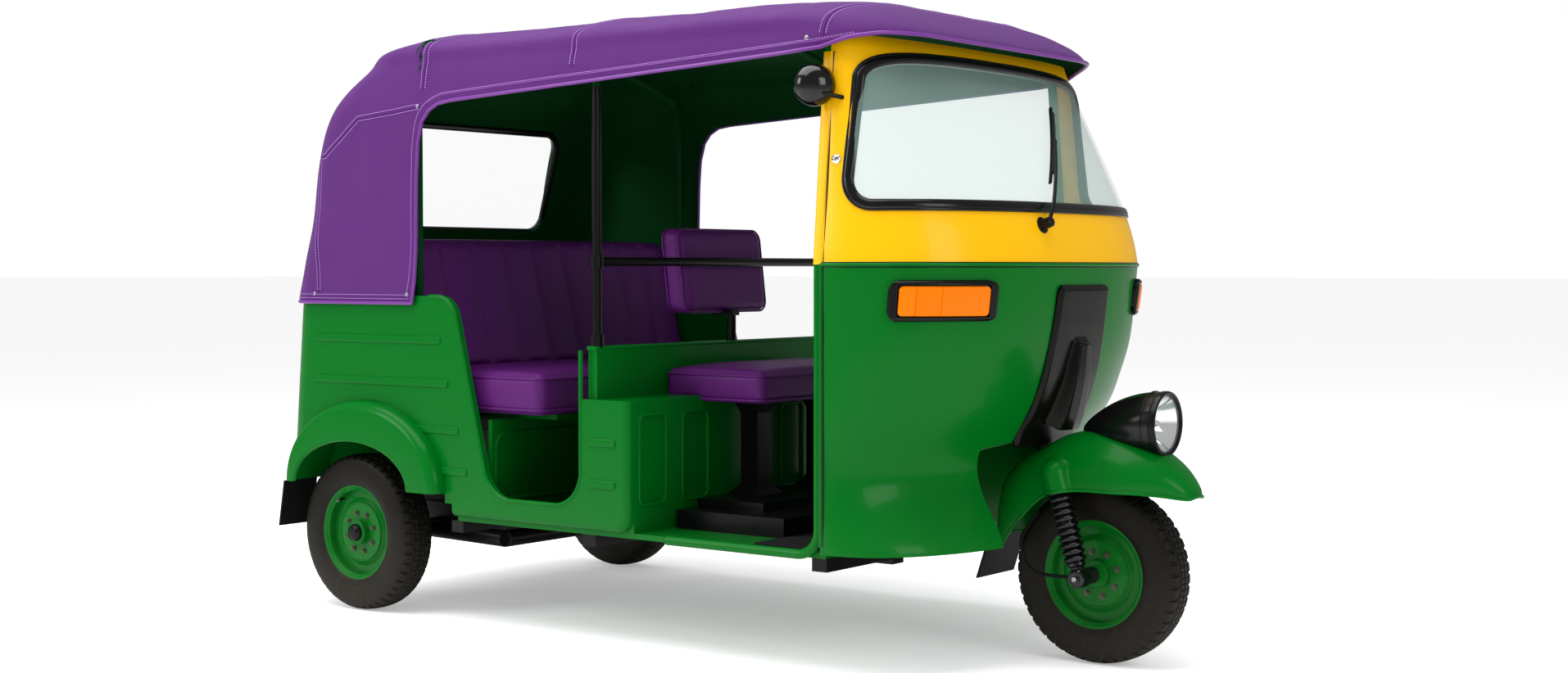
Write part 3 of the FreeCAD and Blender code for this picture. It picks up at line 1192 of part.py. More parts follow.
def wiper():
    """Arm and blade lying on the screen, from its pivot on the surround."""
    start = vec(S.wiper_x, S.wiper_y, S.wiper_z)
    end = start + vec(-S.wiper_back, S.wiper_across, S.wiper_rise)
    arm = rod(S.wiper_radius, start, end)
    pivot = rod(S.wiper_hub, start - vec(S.wiper_hub * 2, 0, 0), start + vec(S.wiper_hub / 2, 0, 0))
    seat = cowl_body(UPPER_SHARES, -S.sheet_gap)
    return node("wiper", feature("wiper", arm.fuse(pivot).cut(seat)))


def pillars():
    """The edge tubes of the driver's doorways: along the floor, round a bend and up to the roof."""
    shapes = []
    for way in (-1, 1):
        side = (S.side_y - S.sill_radius) * way
        back = S.pillar_x - S.sill_radius - S.sheet_gap * 2
        sill_z = S.floor_z - S.sill_radius / 2
        points = [vec(S.sill_start, side, sill_z), vec(back, side, sill_z), vec(back, side, S.belt_z),
                  vec(back - S.root_lean, (S.upper_half - S.sill_radius) * way, S.cowl_top_z)]
        shapes.append(swept_tube(S.sill_radius, points, [S.sill_bend, S.sill_bend * 4]))
    return node("front_pillars", feature("front_pillars", Part.makeCompound(shapes)))


def build():
    """Make every sub-part, from the running gear up."""
    chassis()
    floor_pan()
    partition_box()
    engine_block()
    rear_suspension()
    rear_mudguards()
    rear_flaps()
    side_panels()
    rear_panel()
    engine_lid()
    front_cowl()
    screen_seal = upper_cowl()
    window_seal = canopy()
    node("window_seals", feature("window_seals", Part.makeCompound([screen_seal, window_seal])))
    hood_frame()
    hand_rails()
    seats()
    driver_seat_frame()
    driver_plinth()
    dash_panel()
    head_tube()
    steering_column()
    handlebar()
    front_end()
    front_flap()
    damper()
    brake_hose()
    garnish()
    indicators()
    mirror()
    tail_lamps()
    wiper()
    pillars()
    wheel("rear_right", S.axle_x, -S.half_track, -1)
    wheel("rear_left", S.axle_x, S.half_track, 1)
    wheel("front", S.front_x, 0, -1)


def export():
    """Check every object, then write each sub-part to its own file."""
    DOC.recompute()
    for item in DOC.Objects:
        if "Invalid" in item.State or "Error" in item.State:
            raise RuntimeError("%s failed: %s" % (item.Label, item.State))
    os.makedirs("parts", exist_ok=True)
    for name, item in NODES.items():
        shape = item.Shape
        if shape.isNull() or not shape.isValid() or not shape.Solids:
            raise RuntimeError("%s has no valid shape" % name)
        shape.exportStep("parts/%s.step" % name)


build()
export()
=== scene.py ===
"""Looks of the auto rickshaw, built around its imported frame.

Everything is in metres in the row frame: +X forward, +Y to the vehicle's left, +Z up, with the
origin on the ground. Colours are linear. Each sub-assembly is a class with its sizes as fields.
"""

import json
import logging
import math
from dataclasses import dataclass
from enum import Enum
from typing import Callable, Optional, Sequence

import bmesh
import bpy
import numpy as np
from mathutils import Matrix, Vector
from mathutils.bvhtree import BVHTree


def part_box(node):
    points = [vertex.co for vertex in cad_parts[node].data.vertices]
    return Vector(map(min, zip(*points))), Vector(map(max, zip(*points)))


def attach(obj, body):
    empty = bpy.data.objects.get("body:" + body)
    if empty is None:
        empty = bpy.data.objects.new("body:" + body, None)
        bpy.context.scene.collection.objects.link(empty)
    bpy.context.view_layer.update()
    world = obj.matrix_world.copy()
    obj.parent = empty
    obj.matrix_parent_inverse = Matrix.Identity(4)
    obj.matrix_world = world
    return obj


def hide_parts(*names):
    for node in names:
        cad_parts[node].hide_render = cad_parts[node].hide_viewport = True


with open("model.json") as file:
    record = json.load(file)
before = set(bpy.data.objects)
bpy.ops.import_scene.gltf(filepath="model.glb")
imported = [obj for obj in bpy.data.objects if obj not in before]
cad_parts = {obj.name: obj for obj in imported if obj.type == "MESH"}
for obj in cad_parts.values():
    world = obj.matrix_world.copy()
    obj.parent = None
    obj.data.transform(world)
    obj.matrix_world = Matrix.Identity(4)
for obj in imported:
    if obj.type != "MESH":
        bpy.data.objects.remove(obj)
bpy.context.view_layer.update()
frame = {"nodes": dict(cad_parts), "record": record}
LOG = logging.getLogger("rickshaw")
Array = np.ndarray
Piece = bpy.types.Object
Numbers = Sequence[float]
Color = tuple[float, float, float]


# Shader node groups and finishes


class Nodes:
    """Short calls for building a node tree."""

    def __init__(self, tree: bpy.types.NodeTree) -> None:
        """Args:
            tree: the tree that nodes are added to.
        """
        self.tree = tree

    def add(self, kind: str, settings: Optional[dict] = None, **inputs: object) -> bpy.types.Node:
        """Add a node, set its properties, and set or link its inputs.

        Args:
            kind: the node's type name without the ShaderNode prefix, or in full.
            settings: properties of the node.
            inputs: input values or output sockets, a space in a name written as an underscore.

        Returns:
            The node.
        """
        item = self.tree.nodes.new(kind if kind.startswith("Node") else "ShaderNode" + kind)
        for key, value in (settings or {}).items():
            setattr(item, key, value)
        for key, value in inputs.items():
            numbered = key[0] == "i" and key[1:].isdigit()
            socket = item.inputs[int(key[1:]) if numbered else key.replace("_", " ")]
            if isinstance(value, bpy.types.NodeSocket):
                self.tree.links.new(value, socket)
            else:
                socket.default_value = value
        return item

    def math(self, operation: str, *values: object, clamp: bool = False) -> bpy.types.NodeSocket:
        """The result of a Math node on the values, in their order."""
        numbered = {"i%d" % count: value for count, value in enumerate(values)}
        return self.add("Math", {"operation": operation, "use_clamp": clamp}, **numbered).outputs[0]

    def group(self, tree: bpy.types.NodeTree, **inputs: object) -> bpy.types.Node:
        """Place a node group and set its inputs."""
        return self.add("Group", {"node_tree": tree}, **inputs)


def new_group(name: str, inputs: dict, outputs: dict) -> tuple[Nodes, bpy.types.Node, bpy.types.Node]:
    """Start a shader node group.

    Args:
        name: the group's name.
        inputs: socket names with their start values.
        outputs: socket names with their socket types.

    Returns:
        The builder, the group's input node and its output node.
    """
    tree = bpy.data.node_groups.new(name, "ShaderNodeTree")
    for key, value in inputs.items():
        kind = "NodeSocketColor" if isinstance(value, tuple) else "NodeSocketFloat"
        tree.interface.new_socket(key, in_out="INPUT", socket_type=kind).default_value = value
    for key, kind in outputs.items():
        tree.interface.new_socket(key, in_out="OUTPUT", socket_type=kind)
    nodes = Nodes(tree)
    return nodes, nodes.add("NodeGroupInput"), nodes.add("NodeGroupOutput")


DUST = (0.22, 0.19, 0.15, 1.0)


def grain_group() -> bpy.types.NodeTree:
    """Fine uneven height from two sizes of noise on Object coordinates."""
    nodes, given, out = new_group("fine_grain", {"Scale": 400.0, "Detail": 3.0, "Blend": 0.5},
                                  {"Height": "NodeSocketFloat"})
    place = nodes.add("TexCoord").outputs["Object"]
    small = nodes.add("TexNoise", Vector=place, Scale=given.outputs["Scale"], Detail=given.outputs["Detail"])
    coarse = nodes.math("MULTIPLY", given.outputs["Scale"], 0.12)
    large = nodes.add("TexNoise", Vector=place, Scale=coarse, Detail=2.0)
    mixed = nodes.add("Mix", {"data_type": "FLOAT"}, Factor=given.outputs["Blend"],
                      i2=small.outputs["Fac"], i3=large.outputs["Fac"])
    nodes.tree.links.new(mixed.outputs[0], out.inputs["Height"])
    return nodes.tree


def shade_group() -> bpy.types.NodeTree:
    """A colour that drifts a little over the surface and greys with dust near the ground."""
    nodes, given, out = new_group(
        "shade_drift", {"Color": (0.5, 0.5, 0.5, 1.0), "Drift": 0.06, "Dust": 0.0, "Dust Height": 0.25},
        {"Color": "NodeSocketColor", "Mask": "NodeSocketFloat"})
    place = nodes.add("TexCoord").outputs["Object"]
    cloud = nodes.add("TexNoise", Vector=place, Scale=3.0, Detail=4.0)
    centred = nodes.math("SUBTRACT", cloud.outputs["Fac"], 0.5)
    swing = nodes.math("MULTIPLY_ADD", centred, given.outputs["Drift"], 1.0)
    tinted = nodes.add("VectorMath", {"operation": "SCALE"}, Vector=given.outputs["Color"], Scale=swing)
    split = nodes.add("SeparateXYZ", Vector=place)
    low = nodes.add("MapRange", Value=split.outputs["Z"], From_Min=given.outputs["Dust Height"], From_Max=0.0)
    speckle = nodes.add("TexNoise", Vector=place, Scale=60.0, Detail=6.0, Roughness=0.7)
    mask = nodes.math("MULTIPLY", low.outputs[0], speckle.outputs["Fac"])
    amount = nodes.math("MULTIPLY", mask, given.outputs["Dust"], clamp=True)
    dusty = nodes.add("Mix", {"data_type": "RGBA"}, Factor=amount, i6=tinted.outputs[0], i7=DUST)
    nodes.tree.links.new(dusty.outputs[2], out.inputs["Color"])
    nodes.tree.links.new(amount, out.inputs["Mask"])
    return nodes.tree


def weave_group() -> bpy.types.NodeTree:
    """Crossed threads of a coated cloth as a height, from three sine bands on Object coordinates."""
    nodes, given, out = new_group("cloth_weave", {"Scale": 900.0}, {"Height": "NodeSocketFloat"})
    place = nodes.add("TexCoord").outputs["Object"]
    bands = [nodes.add("TexWave", {"bands_direction": way}, Vector=place, Scale=given.outputs["Scale"],
                       Distortion=0.6, Detail=1.0).outputs["Fac"] for way in "XYZ"]
    total = nodes.math("ADD", nodes.math("ADD", bands[0], bands[1]), bands[2])
    nodes.tree.links.new(total, out.inputs["Height"])
    return nodes.tree


GRAIN, SHADE, WEAVE = grain_group(), shade_group(), weave_group()


@dataclass(frozen=True)
class Finish:
    """A painted, moulded or rubber surface."""

    name: str
    color: Color
    roughness: float = 0.4
    metallic: float = 0.0
    coat: float = 0.0
    coat_roughness: float = 0.05
    specular: float = 0.5
    drift: float = 0.06
    dust: float = 0.0
    dust_height: float = 0.25
    grain_scale: float = 500.0
    grain_depth: float = 0.0

    def material(self) -> bpy.types.Material:
        """The Blender material of this finish."""
        made = bpy.data.materials.new(self.name)
        made.use_nodes = True
        made.diffuse_color = (*self.color, 1.0)
        nodes = Nodes(made.node_tree)
        shader = made.node_tree.nodes["Principled BSDF"]
        shade = nodes.group(SHADE, Color=(*self.color, 1.0), Drift=self.drift, Dust=self.dust,
                            Dust_Height=self.dust_height)
        made.node_tree.links.new(shade.outputs["Color"], shader.inputs["Base Color"])
        for socket, value in (("Metallic", self.metallic), ("Coat Weight", self.coat),
                              ("Coat Roughness", self.coat_roughness), ("Specular IOR Level", self.specular)):
            shader.inputs[socket].default_value = value
        rough = nodes.math("MULTIPLY_ADD", shade.outputs["Mask"], 0.5, self.roughness, clamp=True)
        made.node_tree.links.new(rough, shader.inputs["Roughness"])
        if self.grain_depth:
            bump = nodes.add("Bump", Strength=1.0, Distance=self.grain_depth, Height=self.height(nodes))
            made.node_tree.links.new(bump.outputs["Normal"], shader.inputs["Normal"])
        self.extra(nodes, shader)
        return made

    def height(self, nodes: Nodes) -> bpy.types.NodeSocket:
        """The surface's fine height."""
        return nodes.group(GRAIN, Scale=self.grain_scale).outputs["Height"]

    def extra(self, nodes: Nodes, shader: bpy.types.Node) -> None:
        """Settings of one kind of finish only."""


@dataclass(frozen=True)
class Cloth(Finish):
    """A coated fabric with a fine weave and a soft sheen."""

    sheen: float = 0.3

    def height(self, nodes: Nodes) -> bpy.types.NodeSocket:
        """The threads' height."""
        return nodes.group(WEAVE, Scale=self.grain_scale).outputs["Height"]

    def extra(self, nodes: Nodes, shader: bpy.types.Node) -> None:
        """Give the cloth its sheen."""
        shader.inputs["Sheen Weight"].default_value = self.sheen
        shader.inputs["Sheen Roughness"].default_value = 0.4


@dataclass(frozen=True)
class Leather(Finish):
    """Grained seat covering: cells of a Voronoi pattern with creases between."""

    def height(self, nodes: Nodes) -> bpy.types.NodeSocket:
        """Pebbled grain: the distance to each cell's edge, broken by noise."""
        place = nodes.add("TexCoord").outputs["Object"]
        cells = nodes.add("TexVoronoi", {"feature": "DISTANCE_TO_EDGE"}, Vector=place, Scale=self.grain_scale)
        crease = nodes.add("MapRange", Value=cells.outputs["Distance"], From_Min=0.0, From_Max=0.12)
        noise = nodes.group(GRAIN, Scale=self.grain_scale * 0.3)
        return nodes.math("MULTIPLY_ADD", noise.outputs["Height"], 0.8, crease.outputs[0])


@dataclass(frozen=True)
class Glass(Finish):
    """Thin tinted glass that lets straight light through."""

    alpha: float = 0.3

    def extra(self, nodes: Nodes, shader: bpy.types.Node) -> None:
        """Make the pane see-through."""
        shader.inputs["Alpha"].default_value = self.alpha


@dataclass(frozen=True)
class Floor(Finish):
    """A pale floor without shine, a little lighter to the camera."""

    lift: float = 0.34

    def extra(self, nodes: Nodes, shader: bpy.types.Node) -> None:
        """Lift the floor's colour for the camera alone."""
        shader.inputs["Emission Color"].default_value = (1.0, 1.0, 1.0, 1.0)
        seen = nodes.math("MULTIPLY", nodes.add("LightPath").outputs["Is Camera Ray"], self.lift)
        nodes.tree.links.new(seen, shader.inputs["Emission Strength"])


class Look(Enum):
    """Every finish of the vehicle and of the floor, by name."""

    GREEN = Finish("green_paint", (0.0, 0.128, 0.01), 0.26, coat=0.06, coat_roughness=0.04, specular=0.08,
                   drift=0.05, dust=0.1, dust_height=0.4, grain_scale=220.0, grain_depth=0.00003)
    # A darker copy of the green paint, as painted shade, for the green parts inside the cab under the hood.
    DEEP_GREEN = Finish("shaded_green_paint", (0.0, 0.08, 0.005), 0.35, specular=0.07, drift=0.06)
    YELLOW = Finish("yellow_paint", (0.82, 0.43, 0.001), 0.3, coat=0.06, coat_roughness=0.08, specular=0.12,
                    drift=0.03, grain_scale=220.0, grain_depth=0.00004)
    BLACK_PAINT = Finish("black_paint", (0.0035, 0.0035, 0.0035), 0.28, specular=0.16, drift=0.1, dust=0.12)
    CASTING = Finish("grey_casting", (0.05, 0.05, 0.052), 0.6, metallic=0.6, drift=0.3,
                     grain_scale=300.0, grain_depth=0.0004)
    HOOD = Cloth("hood_cloth", (0.088, 0.014, 0.15), 0.55, specular=0.12, drift=0.1, grain_scale=420.0,
                 grain_depth=0.00014, sheen=0.06)
    LINING = Cloth("hood_lining", (0.0, 0.048, 0.008), 0.8, specular=0.1, drift=0.12, grain_scale=420.0,
                   grain_depth=0.0001, sheen=0.0)
    THREAD = Finish("stitch_thread", (0.42, 0.22, 0.58), 0.7, specular=0.2)
    PIPING = Finish("hood_piping_cloth", (0.15, 0.026, 0.24), 0.35, specular=0.3, coat=0.15)
    SEAT = Leather("seat_leather", (0.088, 0.009, 0.128), 0.36, specular=0.18,
                   drift=0.08, grain_scale=420.0, grain_depth=0.00024)
    BLACK_PLASTIC = Finish("black_plastic", (0.0032, 0.0032, 0.0032), 0.28, specular=0.18, grain_scale=900.0,
                           grain_depth=0.00005, drift=0.05)
    RUBBER = Finish("black_rubber", (0.004, 0.004, 0.004), 0.5, specular=0.12, grain_scale=500.0,
                    grain_depth=0.0001, drift=0.1, dust=0.1)
    TYRE = Finish("tyre_rubber", (0.006, 0.005, 0.003), 0.5, specular=0.13, grain_scale=420.0,
                  grain_depth=0.0003, drift=0.25, dust=0.16, dust_height=0.3)
    STEEL = Finish("bright_steel", (0.3, 0.3, 0.31), 0.35, metallic=1.0, drift=0.1)
    CHROME = Finish("chrome", (0.82, 0.82, 0.83), 0.08, metallic=1.0, drift=0.0)
    # The amber lens's strong colour drift is painted reflection: its lighter and darker patches stand in for
    # light reflected inside the lens.
    AMBER = Finish("amber_lens", (0.86, 0.185, 0.0), 0.12, specular=0.12, drift=0.35)
    RED = Finish("red_lens", (0.45, 0.006, 0.006), 0.2, coat=0.3, specular=0.3)
    GLASS = Glass("tinted_glass", (0.42, 0.62, 0.56), 0.03, specular=0.5, drift=0.0, alpha=0.2)
    GARNISH = Finish("garnish_black", (0.003, 0.003, 0.002), 0.22, specular=0.13, grain_scale=900.0,
                     grain_depth=0.00004, drift=0.04)
    SHELL = Finish("shell_black", (0.0035, 0.0035, 0.004), 0.22, specular=0.28, coat=0.05, drift=0.04)
    GLOSS = Finish("gloss_black", (0.003, 0.003, 0.0035), 0.14, specular=0.35, coat=0.15, drift=0.03)
    SEAL = Finish("seal_rubber", (0.004, 0.004, 0.0045), 0.22, specular=0.28, drift=0.03)
    FILM = Glass("clear_film", (0.95, 0.97, 0.98), 0.05, specular=0.3, drift=0.0, alpha=0.03)
    NUT = Finish("dull_nut", (0.1, 0.115, 0.07), 0.4, metallic=0.7, drift=0.2)
    CLEAR = Glass("clear_lens", (0.9, 0.93, 0.95), 0.03, specular=0.5, drift=0.0, alpha=0.12)
    FLOOR = Floor("pale_floor", (0.95, 0.95, 0.95), 0.9, specular=0.0, drift=0.0)


MATERIALS: dict[Look, bpy.types.Material] = {}


def finish(kind: Look) -> bpy.types.Material:
    """The material of a finish, made once."""
    if kind not in MATERIALS:
        MATERIALS[kind] = kind.value.material()
    return MATERIALS[kind]


# Mesh helpers


def linked(name: str, data: bpy.types.ID) -> Piece:
    """A new object of this name in the scene, with its mesh, lamp or camera."""
    obj = bpy.data.objects.new(name, data)
    bpy.context.scene.collection.objects.link(obj)
    return obj


def new_mesh(name: str, points: Array, faces: Array | list, kind: Look) -> Piece:
    """Make a smooth-shaded object from points and faces.

    Args:
        name: the piece's name.
        points: vertices on the last axis.
        faces: corner numbers, one face a row.
        kind: the finish.

    Returns:
        The linked object, at the origin.
    """
    mesh = bpy.data.meshes.new(name)
    rows = faces if isinstance(faces, list) else faces.tolist()
    mesh.from_pydata(points.reshape(-1, 3).tolist(), [], rows)
    mesh.materials.append(finish(kind))
    mesh.shade_smooth()
    return linked(name, mesh)


def grid_faces(rows: int, columns: int, wrap_rows: bool = False, wrap_columns: bool = False) -> Array:
    """Corner numbers of the quads of a grid of points, row by row.

    Args:
        rows: points down the grid.
        columns: points across the grid.
        wrap_rows: also join the last row to the first.
        wrap_columns: also join the last column to the first.

    Returns:
        An array of four corner numbers a face.
    """
    down = np.arange(rows if wrap_rows else rows - 1)[:, None]
    across = np.arange(columns if wrap_columns else columns - 1)[None, :]
    below, beside = (down + 1) % rows, (across + 1) % columns
    corners = (down * columns + across, down * columns + beside,
               below * columns + beside, below * columns + across)
    return np.stack([np.broadcast_to(c, (down.size, across.size)).ravel() for c in corners], axis=1)


def surface(name: str, points: Array, kind: Look, wrap_rows: bool = False,
            wrap_columns: bool = False, sharp_deg: float = 180.0) -> Piece:
    """An object from a grid of points shaped (rows, columns, 3), with its doubles merged."""
    faces = grid_faces(points.shape[0], points.shape[1], wrap_rows, wrap_columns)
    return clean(new_mesh(name, points, faces, kind), sharp_deg)


def shade(mesh: bpy.types.Mesh, sharp_deg: float) -> None:
    """Shade a mesh smooth; edges bent by more than the angle stay sharp."""
    mesh.shade_smooth()
    if sharp_deg < 180.0:
        mesh.set_sharp_from_angle(angle=math.radians(sharp_deg))


def clean(obj: Piece, sharp_deg: float = 180.0) -> Piece:
    """Merge doubles, drop faces without area and point the normals outwards.

    Args:
        obj: the mesh object to clean.
        sharp_deg: edges bent by more than this are marked sharp.

    Returns:
        The same object.
    """
    work = bmesh.new()
    work.from_mesh(obj.data)
    bmesh.ops.remove_doubles(work, verts=work.verts, dist=1e-6)
    bmesh.ops.dissolve_degenerate(work, edges=work.edges, dist=1e-7)
    bmesh.ops.recalc_face_normals(work, faces=work.faces)
    work.to_mesh(obj.data)
    work.free()
    shade(obj.data, sharp_deg)
    return obj


def bake(obj: Piece) -> None:
    """Apply an object's modifiers to its own mesh."""
    graph = bpy.context.evaluated_depsgraph_get()
    mesh = bpy.data.meshes.new_from_object(obj.evaluated_get(graph))
    obj.modifiers.clear()
    obj.data = mesh


def carve(obj: Piece, cutter: Piece, sharp_deg: float) -> None:
    """Cut one object out of another and delete the cutter."""
    change = obj.modifiers.new("carve", "BOOLEAN")
    change.operation, change.object, change.solver = "DIFFERENCE", cutter, "EXACT"
    bake(obj)
    shade(obj.data, sharp_deg)
    bpy.data.objects.remove(cutter)


def joined(name: str, pieces: Sequence[Piece]) -> Piece:
    """Join several mesh objects into one of this name, keeping their materials."""
    first = pieces[0]
    with bpy.context.temp_override(active_object=first, selected_editable_objects=list(pieces)):
        bpy.ops.object.join()
    first.name = name
    first.data.name = name
    return first


def unit(vectors: Array) -> Array:
    """Vectors scaled to length one along the last axis."""
    return vectors / np.maximum(np.linalg.norm(vectors, axis=-1, keepdims=True), 1e-12)


def sweep(name: str, path: Array, up: Array | Numbers, section: Array, kind: Look,
          closed: bool = False) -> Piece:
    """Carry a section along a path: each ring is the path point plus the section's across and up amounts.

    Args:
        name: the piece's name.
        path: points along the middle.
        up: the section's up direction, one for all points or one for each.
        section: (across, up) points in order.
        kind: the finish.
        closed: join the path's end to its start.

    Returns:
        The object.
    """
    run = np.concatenate([path[-1:], path, path[:1]]) if closed else path
    tangent = unit(np.gradient(run, axis=0))
    tangent = tangent[1:-1] if closed else tangent
    across = unit(np.cross(tangent, np.broadcast_to(up, path.shape)))
    lift = unit(np.cross(across, tangent))
    rings = path[:, None] + section[None, :, :1] * across[:, None] + section[None, :, 1:] * lift[:, None]
    if not closed:
        ends = [np.repeat(end[:, None], len(section), 1) for end in (path[:1], path[-1:])]
        rings = np.concatenate([ends[0], rings, ends[1]])
    return surface(name, rings, kind, wrap_rows=closed, wrap_columns=True, sharp_deg=60)


def tube(name: str, path: Array, radius: float, kind: Look,
         up: Numbers = (0.0, 0.0, 1.0), sides: int = 12, closed: bool = False) -> Piece:
    """A round tube along a path."""
    turn = np.linspace(0, 2 * np.pi, sides, endpoint=False)
    return sweep(name, path, up, radius * np.stack([np.sin(turn), np.cos(turn)], axis=1), kind, closed)


def band(name: str, path: Array, normal: Array | Numbers, wide: float, high: float,
         kind: Look, closed: bool = False, square: float = 0.8, sides: int = 14) -> Piece:
    """A strip laid along a path, its section a rounded oval.

    A section point is w sign(cos a) |cos a|^s across and h sign(sin a) |sin a|^s along the normal.

    Args:
        name: the piece's name.
        path: points along the strip.
        normal: the direction of its height, one for all points or one for each.
        wide: half its width, w.
        high: half its height, h.
        kind: the finish.
        closed: join its end to its start.
        square: the power s; smaller is squarer.
        sides: points round the section.

    Returns:
        The object.
    """
    turn = np.linspace(0, 2 * np.pi, sides, endpoint=False)
    cos, sin = (np.sign(part) * np.abs(part) ** square for part in (np.cos(turn), np.sin(turn)))
    return sweep(name, path, normal, np.stack([wide * cos, high * sin], axis=1), kind, closed)


def lathe(name: str, profile: Array | Sequence, centre: Numbers, axis: Numbers,
          kind: Look, steps: int = 96, sharp_deg: float = 30.0) -> Piece:
    """Turn a profile of (radius, distance along the axis) points round the axis through the centre."""
    profile, along = np.asarray(profile, float), unit(np.asarray(axis, float))
    first = unit(np.cross(along, (0.0, 0.0, 1.0) if abs(along[2]) < 0.9 else (1.0, 0.0, 0.0)))
    turn = np.linspace(0, 2 * np.pi, steps, endpoint=False)[:, None]
    ring = np.cos(turn) * first + np.sin(turn) * np.cross(along, first)
    points = (np.asarray(centre, float) + profile[:, 1, None, None] * along
              + profile[:, 0, None, None] * ring[None])
    return surface(name, points, kind, wrap_columns=True, sharp_deg=sharp_deg)


def smooth_curve(points: Sequence[Numbers], count: int) -> Array:
    """A Catmull-Rom curve through the points, sampled evenly by chord length."""
    knots = np.asarray(points, float)
    ends = np.concatenate([2 * knots[:1] - knots[1:2], knots, 2 * knots[-1:] - knots[-2:-1]])
    length = run_length(knots)
    place = np.interp(np.linspace(0, length[-1], count), length, np.arange(len(knots)))
    index = np.minimum(place.astype(int), len(knots) - 2)
    share = (place - index)[:, None]
    a, b, c, d = (ends[index + step] for step in range(4))
    return 0.5 * (2 * b + (c - a) * share + (2 * a - 5 * b + 4 * c - d) * share ** 2
                  + (3 * b - a - 3 * c + d) * share ** 3)


class Skin:
    """Ray hits on the outside of meshes, for what is laid, sewn or set on them."""

    def __init__(self, *objects: Piece) -> None:
        """Args:
            objects: the meshes, taken where they stand.
        """
        work = bmesh.new()
        for obj in objects:
            copy = obj.data.copy()
            copy.transform(obj.matrix_world)
            work.from_mesh(copy)
            bpy.data.meshes.remove(copy)
        self.tree = BVHTree.FromBMesh(work)
        work.free()

    def hit(self, starts: Array, ways: Array) -> tuple[Array, Array]:
        """Where rays first meet the skin; a ray that misses takes the hit before it.

        Args:
            starts: ray starts, points on the last axis.
            ways: ray directions, of a shape that fits the starts.

        Returns:
            The points, and the normals turned towards the rays' starts.
        """
        starts, ways = np.broadcast_arrays(starts, unit(np.asarray(ways, float)))
        found = [self.tree.ray_cast(Vector(a), Vector(b))[:2]
                 for a, b in zip(starts.reshape(-1, 3), ways.reshape(-1, 3))]
        good = np.array([point is not None for point, _ in found])
        if not good.any():
            raise ValueError("no ray meets the skin near %s" % starts.reshape(-1, 3)[0])
        nearest = np.maximum.accumulate(np.where(good, np.arange(good.size), -1))
        nearest = np.where(nearest < 0, int(np.argmax(good)), nearest)
        points = np.array([tuple(found[k][0]) for k in nearest])
        normals = np.array([tuple(found[k][1]) for k in nearest])
        facing = -np.sign(np.sum(normals * ways.reshape(-1, 3), axis=1, keepdims=True))
        return points.reshape(starts.shape), (normals * facing).reshape(starts.shape)


def run_length(path: Array) -> Array:
    """How far along a path each of its points lies."""
    return np.concatenate([[0.0], np.cumsum(np.linalg.norm(np.diff(path, axis=0), axis=1))])


def sampled(marks: Array, run: Array, values: Array) -> Array:
    """Values along a path, read at other run lengths."""
    return np.stack([np.interp(marks, run, values[:, k]) for k in range(3)], axis=1)


def stitches(name: str, path: Array, normals: Array, kind: Look, pitch: float = 0.0075,
             length: float = 0.005, thick: float = 0.0017) -> Piece:
    """A row of sewn threads: small bars set along a path at an even pitch, half sunk in the cloth.

    Args:
        name: the piece's name.
        path: points along the seam.
        normals: the cloth's normals there.
        kind: the thread.
        pitch: from stitch to stitch.
        length: of one stitch.
        thick: of the thread.

    Returns:
        The object.
    """
    run = run_length(path)
    marks = np.arange(pitch, run[-1] - pitch, pitch)
    centre = sampled(marks, run, path)
    normal = unit(sampled(marks, run, normals))
    along = unit(np.gradient(centre, axis=0))
    across = unit(np.cross(normal, along))
    corner = np.array([[x, y, z] for x in (-1, 1) for y in (-1, 1) for z in (-1, 1)], float)
    points = (centre[:, None] + corner[None, :, :1] * along[:, None] * length / 2
              + corner[None, :, 1:2] * across[:, None] * thick / 2
              + corner[None, :, 2:] * normal[:, None] * thick / 2)
    box = np.array([[0, 1, 3, 2], [4, 6, 7, 5], [0, 4, 5, 1], [2, 3, 7, 6], [0, 2, 6, 4], [1, 5, 7, 3]])
    faces = (box[None] + 8 * np.arange(len(marks))[:, None, None]).reshape(-1, 4)
    return new_mesh(name, points, faces, kind)


def rounded_path(points: Sequence[Numbers], radii: Numbers, steps: int = 10) -> Array:
    """A polyline in a plane with its inner corners rounded, each by its own radius.

    Args:
        points: corners as pairs.
        radii: one radius for each inner corner.
        steps: points on each round.

    Returns:
        The points as pairs.
    """
    corner = np.asarray(points, float)
    parts = [corner[:1]]
    for index, radius in enumerate(radii, 1):
        back, on = unit(corner[index - 1] - corner[index]), unit(corner[index + 1] - corner[index])
        half = math.acos(float(np.clip(back @ on, -1, 1))) / 2
        reach = radius / math.tan(half)
        centre = corner[index] + unit(back + on) * radius / math.sin(half)
        start, end = corner[index] + back * reach - centre, corner[index] + on * reach - centre
        share = np.linspace(0, 1, steps)[:, None]
        parts.append(centre + unit(start * (1 - share) + end * share) * radius)
    return np.concatenate(parts + [corner[-1:]])


def rounded_rectangle(half_across: float, half_up: float, radius: float, steps: int) -> Array:
    """A closed outline of (across, up) points: four quarter circles joined by straight sides."""
    turn = np.linspace(0, np.pi / 2, steps)
    arc = radius * np.stack([np.cos(turn), np.sin(turn)], axis=1)
    parts = []
    for sx, sy in ((1, 1), (-1, 1), (-1, -1), (1, -1)):
        centre = np.array([sx * (half_across - radius), sy * (half_up - radius)])
        parts.append(centre + arc[::sx * sy] * np.array([sx, sy]))
    return np.concatenate(parts)


def capped(name: str, rings: Array, kind: Look) -> Piece:
    """A closed solid from rings of points, its two ends filled."""
    rows, columns = rings.shape[:2]
    sides = grid_faces(rows, columns, wrap_columns=True).tolist()
    ends = [list(range(columns)), list(range((rows - 1) * columns, rows * columns))]
    return clean(new_mesh(name, rings, sides + ends, kind), 40)


